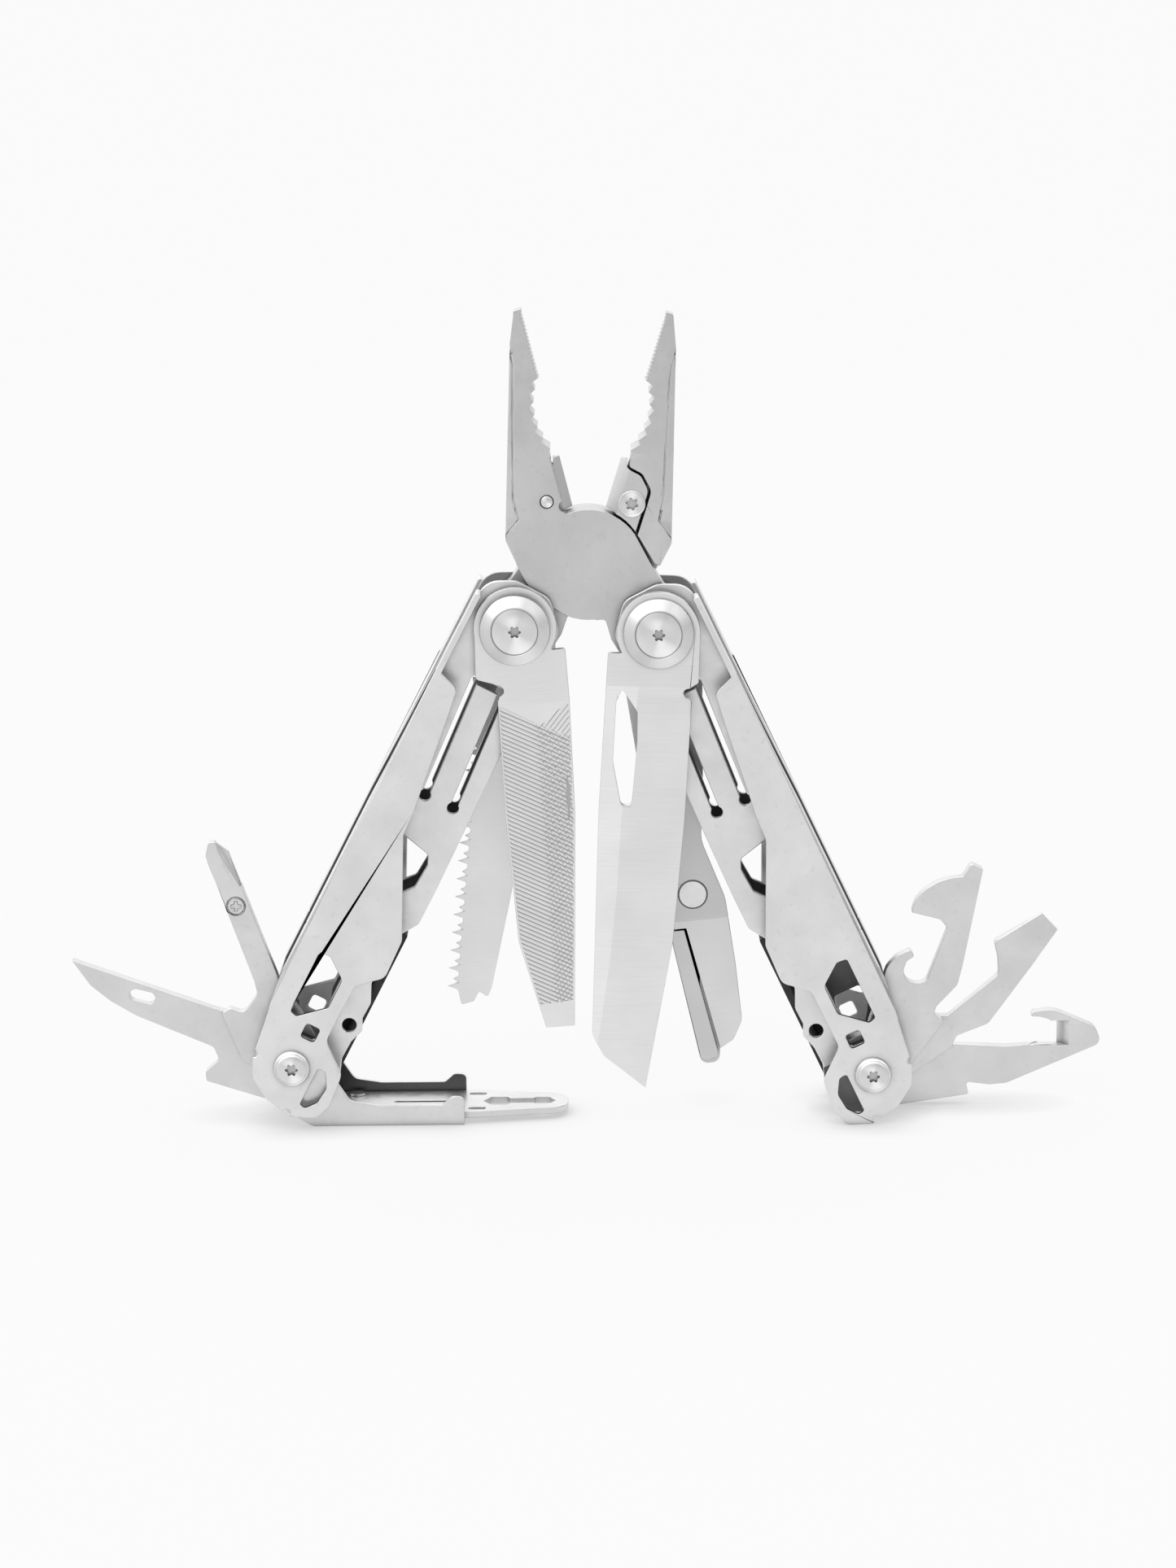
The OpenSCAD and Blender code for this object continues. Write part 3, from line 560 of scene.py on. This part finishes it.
def piece(name, bm, local, body, slot, replaced=(), mirrored=False):
    """Makes an object of a mesh drawn in millimetres, and gives it its place, body and finish."""
    if mirrored:
        bm.transform(MIRROR)
    bm.transform(Matrix.Scale(MM, 4))
    bmesh.ops.recalc_face_normals(bm, faces=bm.faces)
    mesh = bpy.data.meshes.new(name)
    bm.to_mesh(mesh)
    bm.free()
    stored = mesh.attributes.new("part_place", "FLOAT_VECTOR", "POINT")
    for value, vertex in zip(stored.data, mesh.vertices):
        value.vector = vertex.co
    mesh.transform(local.to_3x3().to_4x4())
    mesh.shade_smooth()
    mesh.set_sharp_from_angle(angle=math.radians(CREASE))
    for edge in mesh.edges:
        if edge.use_seam:
            edge.use_edge_sharp, edge.use_seam = True, False
    made = bpy.data.objects.new(name, mesh)
    bpy.context.scene.collection.objects.link(made)
    made.location = local.translation
    weighted = made.modifiers.new("even_faces", "WEIGHTED_NORMAL")
    weighted.keep_sharp = True
    node = name.removesuffix("_finished")
    mesh.materials.append(OWN_FINISH.get(node, FINISH[slot]))
    # Unless a piece has its own, its second material is painted shade for recesses or openings
    mesh.materials.append(SECOND_FINISH.get(node, RECESS_SHADE if slot == "turned_steel" else OPENING_SHADE))
    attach(made, body)
    if replaced:
        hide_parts(*replaced)
    return made


def finished(node, local, width, mirrored=False, shape=None, wide=None, after=None):
    """The shown piece of a CAD node, with its edges rounded and its shape refined."""
    bm = solid(node, local, mirrored)
    if shape:
        shape(bm)
    soften(bm, width, wide)
    if after:
        bm = after(bm)
    return piece(node + "_finished", bm, local, BODY[node], SLOT[node], [node], mirrored)


# ---- Shapes that the CAD leaves plain ----

JAW_OUTER = [(-3.5, 41.7), (-13.1, 8.2)]  # the jaw's outer edge
# Height, and how far the bevel's inner line lies from the outer edge there
JAW_BEVEL = [(41.7, 0.05), (38, 0.8), (28.5, 1.0), (15.2, 1.5), (11.2, 2.5), (9.0, 0.05)]
JAW_BEVEL_REAR = [(41.7, 0.05), (38, 1.0), (31.5, 1.35), (16.3, 1.85), (11.5, 2.7), (9.0, 0.05)]
JAW_LEVELS = (40, 34, 31, 25, 22, 18.5, 13.4, 12.2, 10.2)
STEP = 0.3  # width of the groove along the bevel
GROOVE_DEPTH, STEP_DEPTH = 0.2, 0.06
BEVEL_SLOPE, BEVEL_WIDTH = 0.16, 2.6


def jaw_shape(bm, turn=1):
    """The long bevels down the outer side of a jaw, front and back, set off by a fine groove."""
    flip = Matrix.Scale(turn, 4, (1, 0, 0)) @ Matrix.Scale(turn, 4, (0, 1, 0))
    bm.transform(flip)
    bm.normal_update()
    for side, insets in ((-1, JAW_BEVEL), (1, JAW_BEVEL_REAR)):
        line = [(along(JAW_OUTER, z) + inset, z) for z, inset in insets]
        for level in (*JAW_LEVELS, *(z for z, _ in insets)):
            cut(bm, (-20, level), (20, level), False, side)
        for a, b in zip(line, line[1:]):
            cut(bm, a, b, True, side)
            for share in (0.5, 1):
                cut(bm, (a[0] - STEP * share, a[1]), (b[0] - STEP * share, b[1]), True, side)

        def depth(x, z):
            out = along(line, z) - x if line[-1][1] < z < line[0][1] else 0
            groove = GROOVE_DEPTH * max(1 - abs(out / STEP - 0.5) * 2, 0)
            beyond = min(max(out - STEP, 0), BEVEL_WIDTH)
            return groove + min(max(out, 0) / STEP, 1) * STEP_DEPTH + BEVEL_SLOPE * beyond

        sink(bm, depth, side)
    bm.transform(flip)


# Where a jaw's teeth begin (height, X), and how far their edges are rounded
FINE_TEETH, GRIP_TEETH = (34.5, -0.6, 0.025), (20.5, -3.6, 0.08)


def jaw_edges(turn):
    """The teeth keep sharper edges than the rest of a jaw, the fine ones nearly sharp."""
    def width(edge):
        a, b = (v.co for v in edge.verts)
        for height, inner, own in (FINE_TEETH, GRIP_TEETH):
            if min(a.z, b.z) > height and max(a.x * turn, b.x * turn) > inner:
                return own
        return None
    return width


# What stays in place of a cutter (X outward, height), and the share left of its size
CUTTER_SIDE, CUTTER_ROOT = 0.05, 14
CUTTER_WIDTH, CUTTER_HEIGHT = 0.955, 0.97


def cutter_shape(turn):
    """A cutter is a little smaller than its pocket, so that the gap around it shows."""
    def shape(bm):
        for v in bm.verts:
            v.co.x = (v.co.x * turn + CUTTER_SIDE) * CUTTER_WIDTH * turn - CUTTER_SIDE * turn
            v.co.z = CUTTER_ROOT + (v.co.z - CUTTER_ROOT) * CUTTER_HEIGHT
    return shape


# The lever's cutting plate: in front of this depth and below this height, the line of its edge
# (X, height, X per millimetre up), and how far the edge and the top end are moved
PLATE_BACK, PLATE_TOP = 6.9, -60
PLATE_EDGE, PLATE_EDGE_Z, PLATE_EDGE_SLOPE = -1.65, -60.4, (-3.95, 23)
EDGE_MOVED, TOP_MOVED, TOP_END = 0.4, 1.75, -60.6


def lever_shape(bm):
    """The lever's cutting plate is brought close to the blade."""
    for v in bm.verts:
        if v.co.y < PLATE_BACK and v.co.z < PLATE_TOP:
            run, rise = PLATE_EDGE_SLOPE
            edge = PLATE_EDGE + (v.co.z - PLATE_EDGE_Z) * run / rise
            v.co.x += EDGE_MOVED * (abs(v.co.x - edge) < 0.5)
            v.co.z += TOP_MOVED * (v.co.z > TOP_END)


# The cutting edge, and the line where the hollow grind begins
KNIFE_EDGE = [(6.3, -12.4), (5.7, -34), (4.3, -57), (0.2, -84.4)]
KNIFE_GRIND = [(-3.2, -10), (-5.7, -34.4), (-6.1, -47.4), (-6.9, -59.5), (-8.4, -73.4), (-9.4, -80)]
KNIFE_PLUNGE, PLUNGE_RUN = -9.7, 1.2
EDGE_BEVEL = 0.75
GRIND_SHARE, BEVEL_SHARE = 0.72, 0.13  # of the thickness, taken off at the edge


def knife_shape(bm):
    """A hollow grind from the line down the blade to a thin edge with its own small bevel."""
    grid(bm, -9, 7, 1.0, -84, -12, 4.0)
    cut(bm, (-4, KNIFE_PLUNGE), (9, KNIFE_PLUNGE))
    cut(bm, (-4, KNIFE_PLUNGE - PLUNGE_RUN), (9, KNIFE_PLUNGE - PLUNGE_RUN), False)
    for a, b in zip(KNIFE_GRIND, KNIFE_GRIND[1:]):
        cut(bm, a, b)
    for a, b in zip(KNIFE_EDGE, KNIFE_EDGE[1:]):
        cut(bm, (a[0] - EDGE_BEVEL, a[1]), (b[0] - EDGE_BEVEL, b[1]))

    def share(x, z):
        if z > KNIFE_PLUNGE:
            return 1
        edge, line = along(KNIFE_EDGE, z), along(KNIFE_GRIND, z)
        across = min(max((x - line) / (edge - line), 0), 1)
        last = min(max((x - edge + EDGE_BEVEL + 0.01) / EDGE_BEVEL, 0), 1)
        ground = GRIND_SHARE * (1 - (1 - across) ** 1.6) + BEVEL_SHARE * last
        return 1 - ground * smooth((KNIFE_PLUNGE - z) / PLUNGE_RUN)

    thin(bm, share)
    for face in bm.faces:
        centre = face.calc_center_median()
        if KNIFE_GRIND[-1][1] < centre.z < KNIFE_PLUNGE and centre.x < along(KNIFE_GRIND, centre.z):
            face.material_index = 1


SAW_ROOTS, SAW_TEETH = -5.3, 1.8  # X of the teeth's roots, and how far they stand out
SAW_LOW, SAW_HIGH = -73, -14
SAW_GRIND = 0.2


def saw_shape(bm):
    """The teeth are ground thinner than the blade."""
    cut(bm, (SAW_ROOTS, -8), (SAW_ROOTS, SAW_LOW), False)
    thin(bm, lambda x, z: 1 - SAW_GRIND * min(max(SAW_ROOTS - x, 0), SAW_TEETH)
         * (SAW_LOW < z < SAW_HIGH))


SCISSORS_TANG = -56.95  # height where the tang ends and the cutting part begins
TANG_STEP = 0.28
RIVET, RIVET_GROOVE = (1, 0, -52), (2.5, 2.78)  # place, and radii of the groove around it


def scissors_shape(bm):
    """A shallow step below the rivet, where the cutting part begins."""
    cut(bm, (-9, -56.8), (9, -56.9))
    cut(bm, (-9, -57.1), (9, -57.2))
    sink(bm, lambda x, z: TANG_STEP * (z < -57.05))


FLAT_TIP, FLAT_WAY = Vector((31.4, 27.6)), Vector((0.73, 0.684))
FLAT_TAPER, FLAT_MIDDLE = 7.5, 3.6  # millimetres back from the tip
FLAT_THINNED = 0.62


def flat_shape(bm):
    """The driver's end tapers to its tip."""
    across = 20 * Vector((-FLAT_WAY.y, FLAT_WAY.x))
    for back in (FLAT_TAPER, FLAT_MIDDLE):
        at = FLAT_TIP - FLAT_WAY * back
        cut(bm, at + across, at - across, False)

    def share(x, z):
        beyond = (Vector((x, z)) - FLAT_TIP).dot(FLAT_WAY) + FLAT_TAPER
        return 1 - FLAT_THINNED * min(max(beyond, 0), FLAT_TAPER) / FLAT_TAPER

    thin(bm, share)


# Outlines of a flute on either side of the driver, and the depths of the pair at its front
# and of the pair at its back
FLUTES = ([(-13.75, 41.6), (-12.6, 38.6), (-9.1, 32.6), (-7.6, 33.4), (-9.6, 40), (-12, 42.5)],
          [(-15.1, 38.2), (-13.75, 33.1), (-15.2, 32.6), (-17, 38.6)])
FLUTE_DEPTHS = ((-4.6, -3.05), (-2.15, -0.6))


def phillips_after(bm):
    """Four flutes at the tip of the driver."""
    return carved(bm, *(prism(outline, *depths) for depths in FLUTE_DEPTHS for outline in FLUTES))


def across_z(bm):
    """Stands a block that was drawn along Y on end, along Z."""
    bm.transform(Matrix.Rotation(math.pi / 2, 4, "X"))
    return bm


THROAT, THROAT_DEPTHS = (33.2, -0.4, 3.83), (1.9, 6.6)  # a round cut along Z


def hook_after(bm):
    """The hollow-ground throat of the hook."""
    return carved(bm, across_z(prism(ring_points(*THROAT), *THROAT_DEPTHS)))


def scissors_after(bm):
    """A groove around the rivet's head, and painted shade on the tang, which lies in the knife's shadow."""
    front = min(v.co.y for v in bm.verts)
    inner, outer = RIVET_GROOVE
    low, high = front - 0.5, front + 0.4
    ring = lathe([(inner, low), (outer, low), (outer, high), (inner, high), (inner, low)])
    bmesh.ops.translate(ring, verts=ring.verts, vec=RIVET)
    bm = carved(bm, ring)
    # Painted shade above the step
    for face in bm.faces:
        if face.calc_center_median().z > SCISSORS_TANG:
            face.material_index = 1
    return bm


# ---- The file's cuts ----

FILE_FACE = -7.4
FILE_POCKET = 0.25
FILE_LEFT = [(-4.35, -12.9), (-5.45, -34), (-5.75, -57), (-2.8, -74)]
FILE_RIGHT = [(7.95, -14), (6.55, -35), (1.95, -74.2)]
FILE_END = -69.5
CUT_START = (-4.35, -13.7)
CUT_SLOPE = -0.587
CUT_PITCH = 0.86
CUT_PROFILE = (0.2, 0.05, 0.0, 0.0, 0.01)
CROSS_ANGLE = math.radians(46)
CROSS_PITCH = 0.74
CROSS_DEPTH = 0.17
CROSS_START = (2.6, -18.0)
CROSS_TOP = (7.95, -14.1)
CUT_COLUMNS, CROSS_COLUMNS = 42, 40
NICK = ((6.3, -27.0), (5.6, -36.0))
NICK_DEPTH, NICK_HALF = 0.2, 0.5


def cut_top(x):
    """Height of the first cut, which slopes across the file."""
    return CUT_START[1] + (x - CUT_START[0]) * CUT_SLOPE


def cross_depth(x, z, strength):
    """The second row of cuts, which rises to the right."""
    phase = ((z * math.cos(CROSS_ANGLE) - x * math.sin(CROSS_ANGLE)) / CROSS_PITCH) % 1
    return strength * CROSS_DEPTH * max(1 - abs(phase - 0.5) * 5, 0)


def nick_depth(x, z):
    """The nail nick: a narrow lens-shaped groove. Gives its depth, or None outside it."""
    (x0, z0), (x1, z1) = NICK
    part = (z0 - z) / (z0 - z1)
    if not 0 < part < 1:
        return None
    off = abs(x - (x0 + (x1 - x0) * part)) / (NICK_HALF * math.sin(math.pi * part) + 1e-6)
    return NICK_DEPTH * (1 - off * off) if off < 1 else None


def cuts_depth(x, z, row):
    """How deep the file is cut at a point of a row; above the first cut, row is None."""
    nick = nick_depth(x, z)
    if nick is not None:
        return nick
    right = smooth((x - 0.5 - (z + 18) * 0.05) / 2.2)
    first = CUT_PROFILE[row % len(CUT_PROFILE)] if row is not None else 0
    return min(max(first, cross_depth(x, z, right)), FILE_POCKET - 0.04)


def slab(rows):
    """A closed block under a field of points, as deep as the file's pocket."""
    bm = bmesh.new()
    verts = [[bm.verts.new(p) for p in row] for row in rows]
    for low, high in zip(verts, verts[1:]):
        for a, b, c, d in zip(low, low[1:], high[1:], high):
            bm.faces.new((a, b, c, d))
    bmesh.ops.remove_doubles(bm, verts=bm.verts, dist=0.004)
    bmesh.ops.dissolve_degenerate(bm, edges=bm.edges, dist=0.003)
    edges = [e for e in bm.edges if e.is_boundary]
    made = bmesh.ops.extrude_edge_only(bm, edges=edges)["geom"]
    for v in (g for g in made if isinstance(g, bmesh.types.BMVert)):
        v.co.y = FILE_FACE + FILE_POCKET
    bmesh.ops.holes_fill(bm, edges=[e for e in bm.edges if e.is_boundary], sides=0)
    return bm


def file_cuts():
    """The two rows of cuts, and the few that run out above them."""
    step = CUT_PITCH / len(CUT_PROFILE)
    rows, row = [], 0
    while True:
        ends = []
        for edge in (FILE_LEFT, FILE_RIGHT):
            x = edge[0][0]
            for _ in range(4):
                x = along(edge, max(cut_top(x) - row * step, FILE_END))
            ends.append(x)
        points = []
        for i in range(CUT_COLUMNS + 1):
            x = ends[0] + (ends[1] - ends[0]) * i / CUT_COLUMNS
            z = max(cut_top(x) - row * step, FILE_END)
            rim = i in (0, CUT_COLUMNS) or row == 0 or z <= FILE_END
            points.append((x, FILE_FACE + (0 if rim else cuts_depth(x, z, row)), z))
        rows.append(points)
        if points[0][2] <= FILE_END:
            break
        row += 1
    rise = (CROSS_TOP[1] - CROSS_START[1]) / (CROSS_TOP[0] - CROSS_START[0])
    upper = []
    for j in range(CROSS_COLUMNS + 1):
        points = []
        for i in range(CROSS_COLUMNS + 1):
            x = CROSS_START[0] + (CROSS_TOP[0] - CROSS_START[0]) * i / CROSS_COLUMNS
            low, high = cut_top(x), CROSS_START[1] + (x - CROSS_START[0]) * rise
            z = low + (high - low) * j / CROSS_COLUMNS
            x = min(x, along(FILE_RIGHT, z))
            rim = i in (0, CROSS_COLUMNS) or j in (0, CROSS_COLUMNS)
            points.append((x, FILE_FACE + (0 if rim else cuts_depth(x, z, None)), z))
        upper.append(points)
    return slab(rows), slab(upper)


def file_after(bm):
    """The file's face is lowered where it is cut, and the cuts fill the hollow."""
    left = [(along(FILE_LEFT, z), z) for z in (-13.7, -34, -45, -57, -63, FILE_END)]
    right = [(along(FILE_RIGHT, z), z) for z in (FILE_END, -60, -50, -42, -35, -28, -21, -14.1)]
    pocket = prism([*left, *right, CROSS_START], FILE_FACE - 0.5, FILE_FACE + FILE_POCKET)
    return joined(carved(bm, pocket), *file_cuts())


# ---- Turned parts: radius and height above the plate they sit on ----

TOP_CAP = [(0, -0.02), (6.2, -0.02), (6.3, 0.08), (6.3, 0.42), (6.18, 0.56), (4.5, 1.72),
           (4.42, 1.76), (4.3, 1.76), (4.22, 1.7), (4.2, 1.5), (4.12, 1.5), (4.06, 1.6),
           (3.98, 1.63), (2.2, 1.7), (0, 1.74)]
BOTTOM_SCREW = [(0, -0.02), (3.3, -0.02), (3.3, 0.5), (3.2, 0.68), (2.98, 0.85), (2.9, 0.8),
                (2.8, 0.8), (2.7, 0.96), (2.3, 1.1), (1.2, 1.18), (0, 1.2)]
CUTTER_SCREW = [(0, -8), (1.0, -8), (1.06, -7.94), (1.06, -7.5), (1.25, -7.4), (1.25, 0),
                (2.4, 0), (2.4, 0.12), (2.32, 0.2), (2.16, 0.22), (2.1, 0.16), (2.04, 0.16),
                (1.98, 0.24), (0, 0.25)]
# Profile, depth of the plate it sits on, and the drive recess: radius and depth
CAP_HEAD = (TOP_CAP, 9.32, 1.15, 1.0)
SCREW_HEAD = (BOTTOM_SCREW, 10.42, 1.2, 0.8)
CUTTER_HEAD = (CUTTER_SCREW, 4.0, 1.2, 0.7)


def turned(head, facing_side):
    """A lathe-turned head on the front (-1) or back (1), with a six-lobed drive recess."""
    profile, base, recess, depth = head
    top = max(height for _, height in profile)
    body = lathe([(radius, height) for radius, height in profile])
    tool = prism(star_points(recess), top - depth, top + 1)
    bm = carved(body, tool)
    # The faces inside the recess get the painted shade
    for face in bm.faces:
        centre = face.calc_center_median()
        inside = top - depth - 0.01 < centre.y < top - 0.06
        if inside and math.hypot(centre.x, centre.z) < recess:
            face.material_index = 1
    bm.transform(Matrix.Translation((0, base * facing_side, 0))
                 @ Matrix.Scale(facing_side, 4, (0, 1, 0)))
    return bm


# ---- Pieces ----

# Openings near a handle's foot: x from and to, z from and to
OPENINGS = ((-5.8, 1.4, -85.8, -68.2), (4.0, 7.6, -97, -87.4))
BEHIND_OVAL = (3.8, -86.6)  # painted shade beyond this X and below this height
TRAY_FLOOR = 6.9


def opening_walls(bm):
    """The walls of a plate's openings get painted shade, darker than its faces."""
    bm.normal_update()
    for face in bm.faces:
        x, _, z = face.calc_center_median()
        walls = abs(face.normal.y) < 0.4
        if walls and any(a < x < b and c < z < d for a, b, c, d in OPENINGS):
            face.material_index = 1
    return bm


def behind_oval(bm):
    """Painted shade on the opening walls, and where the plate shows through the right cover's oval, as the channel
    is in shadow there.
    """
    x, z = BEHIND_OVAL
    cut(bm, (x, z), (x, z - 1), False, -1)
    cut(bm, (x, z), (x + 1, z), False, -1)
    for face in facing(bm, -1):
        centre = face.calc_center_median()
        if centre.x > x and centre.z < z:
            face.material_index = 1
    return opening_walls(bm)


def tray_inside(bm):
    """Painted shade on the inner faces of the folded tray, which the light hardly reaches."""
    bm.normal_update()
    for face in bm.faces:
        centre = face.calc_center_median()
        floor = abs(centre.y) < TRAY_FLOOR and face.normal.z > 0.6
        if floor or centre.y * face.normal.y < -3:
            face.material_index = 1
    return bm


def cover_edge(edge):
    """The long folded edge of a cover is rounder than the rest."""
    a, b = (v.co for v in edge.verts)
    folded = all(abs(c.x + 9.3) < 0.15 and abs(c.y) > 10.3 for c in (a, b))
    return 0.8 if folded and abs(a.z - b.z) > 5 else None


AFTER = {"right_lock_plate_front": behind_oval, "right_lock_plate_rear": opening_walls,
         "left_lock_plate_front": opening_walls, "left_lock_plate_rear": opening_walls}

for side, local, mirrored in (("left", LEFT_HANDLE, False), ("right", RIGHT_HANDLE, True)):
    for part, width in (("liner_front", 0.2), ("liner_rear", 0.2), ("spine", 0.2),
                        ("lock_plate_front", 0.18), ("lock_plate_rear", 0.18),
                        ("back_spring", 0.15)):
        finished(f"{side}_{part}", local, width, mirrored,
                 after=AFTER.get(f"{side}_{part}"))
    for part in ("cover_front", "cover_rear"):
        finished(f"{side}_{part}", local, 0.2, mirrored, wide=cover_edge, after=opening_walls)
    top, foot = (RIGHT, RIGHT_FOOT) if mirrored else (LEFT, LEFT_FOOT)
    for part in ("top_pin", "bottom_pin", "top_washers", "bottom_washers"):
        finished(f"{side}_{part}", place(top if "top" in part else foot), 0.06)
    body = f"{side}_handle"
    for way, part in ((-1, "top_cap_front"), (1, "top_cap_rear")):
        node = f"{side}_{part}"
        piece(node + "_finished", turned(CAP_HEAD, way), place(top), body, SLOT[node], [node])
    node = f"{side}_bottom_screws"
    heads = joined(*(turned(SCREW_HEAD, way) for way in (-1, 1)))
    piece(node + "_finished", heads, place(foot), body, SLOT[node], [node])

CUTTER_SCREW_PLACE = (-4.2, 13)  # X on the front jaw, and height
for node, local, way in (("left_cutter_screw", FRONT_JAW, 1), ("right_cutter_screw", REAR_JAW, -1)):
    x, z = CUTTER_SCREW_PLACE
    centre = local @ Matrix.Translation((x * way * MM, 0, z * MM))
    piece(node + "_finished", turned(CUTTER_HEAD, way), centre, BODY[node], SLOT[node], [node])

finished("plier_front_jaw", FRONT_JAW, 0.15, shape=jaw_shape, wide=jaw_edges(1))
finished("plier_rear_jaw", REAR_JAW, 0.15, shape=lambda bm: jaw_shape(bm, -1),
         wide=jaw_edges(-1))
finished("left_cutter", FRONT_JAW, 0.1, shape=cutter_shape(1))
finished("right_cutter", REAR_JAW, 0.1, shape=cutter_shape(-1))
finished("scissors_lever", SCISSORS, 0.12, shape=lever_shape)
finished("file", FILE, 0.12, after=file_after)
finished("knife", KNIFE, 0.09, shape=knife_shape)
finished("saw", SAW, 0.08, shape=saw_shape)
finished("scissors_blade", SCISSORS, 0.12, shape=scissors_shape, after=scissors_after)
finished("phillips_driver", place(LEFT_FOOT), 0.15, after=phillips_after)
finished("flat_driver", place(RIGHT_FOOT), 0.18, shape=flat_shape)
finished("hook_blade", place(RIGHT_FOOT), 0.18, after=hook_after)
finished("wrench_tray", place(LEFT_FOOT), 0.2, after=tray_inside)
for node, local, width in (
        ("plier_pivot_pin", FRONT_JAW, 0.06),
        ("scissors_rivet", SCISSORS, 0.06), ("scissors_spring", SCISSORS, 0.06),
        ("awl", place(LEFT_FOOT), 0.15),
        ("wrench_tongue", place(LEFT_FOOT), 0.15), ("tray_rivets", place(LEFT_FOOT), 0.06),
        ("can_opener", place(RIGHT_FOOT), 0.18)):
    finished(node, local, width)


# ---- Floor, light and camera ----

FLOOR_RADIUS = 12  # metres
BACKDROP = 0.955  # brightness of the room where the camera sees it past the floor


def make_floor():
    bm = bmesh.new()
    bmesh.ops.create_circle(bm, cap_ends=True, segments=64, radius=FLOOR_RADIUS)
    mesh = bpy.data.meshes.new("floor")
    bm.to_mesh(mesh)
    bm.free()
    floor = bpy.data.objects.new("floor", mesh)
    bpy.context.scene.collection.objects.link(floor)
    floor.location.z = cad_low.z
    mesh.materials.append(floor_paper())


def make_world():
    """A white room: darker on the camera's side, brighter overhead and to the left."""
    world = bpy.data.worlds.new("white_room")
    bpy.context.scene.world = world
    world.use_nodes = True
    tree = world.node_tree
    back = tree.nodes["Background"]
    at = new_node(tree, "ShaderNodeTexCoord").outputs["Generated"]
    toward = ranged(tree, axis_of(tree, at, "Y"), 0.56, 1.06, -1.0, 0.4)
    above = ranged(tree, axis_of(tree, at, "Z"), 0.0, 0.55, 0.15, 0.9)
    aside = ranged(tree, axis_of(tree, at, "X"), 0.28, -0.28, -0.9, 0.9)
    total = calc(tree, "ADD", calc(tree, "ADD", toward, above), aside)
    # The camera sees an even room beyond the floor, as bright as the floor
    seen = new_node(tree, "ShaderNodeLightPath").outputs["Is Camera Ray"]
    unseen = calc(tree, "MULTIPLY", total, calc(tree, "SUBTRACT", 1.0, seen))
    strength = calc(tree, "ADD", unseen, calc(tree, "MULTIPLY", seen, BACKDROP))
    tree.links.new(strength, back.inputs["Strength"])
    back.inputs["Color"].default_value = (1, 1, 1, 1)


def make_light(name, location, target, size, power):
    data = bpy.data.lights.new(name, "AREA")
    data.size = size
    data.energy = power
    lamp = bpy.data.objects.new(name, data)
    bpy.context.scene.collection.objects.link(lamp)
    lamp.location = location
    lamp.rotation_euler = (Vector(target) - Vector(location)).to_track_quat("-Z", "Y").to_euler()


CAMERA_DOWN, CAMERA_ROLL = 12.5, -0.57  # degrees
CAMERA_AIM = Vector((0.00037, 0.0, 0.06193))
CAMERA_AWAY = 0.7392
LONG_SIDE = 1927  # of the photo, in pixels
FOCAL_PIXELS = 5000


def make_camera():
    data = bpy.data.cameras.new("camera")
    data.sensor_width = 36
    data.lens = data.sensor_width * FOCAL_PIXELS / LONG_SIDE
    data.clip_start, data.clip_end = 0.05, 50
    camera = bpy.data.objects.new("camera", data)
    bpy.context.scene.collection.objects.link(camera)
    down = math.radians(CAMERA_DOWN)
    camera.location = CAMERA_AIM + Vector((0, -math.cos(down), math.sin(down))) * CAMERA_AWAY
    tilt = Matrix.Rotation(math.pi / 2 - down, 3, "X")
    roll = Matrix.Rotation(math.radians(CAMERA_ROLL), 3, "Z")
    camera.rotation_euler = (tilt @ roll).to_euler()
    bpy.context.scene.camera = camera


make_floor()
make_world()
make_light("key", (-0.5, -0.5, 0.9), (0, 0, 0.07), 0.7, 1.6)
make_light("fill", (0.7, -0.3, 0.6), (0, 0, 0.07), 0.6, 0.6)
make_camera()
bpy.context.scene.view_settings.view_transform = "Standard"
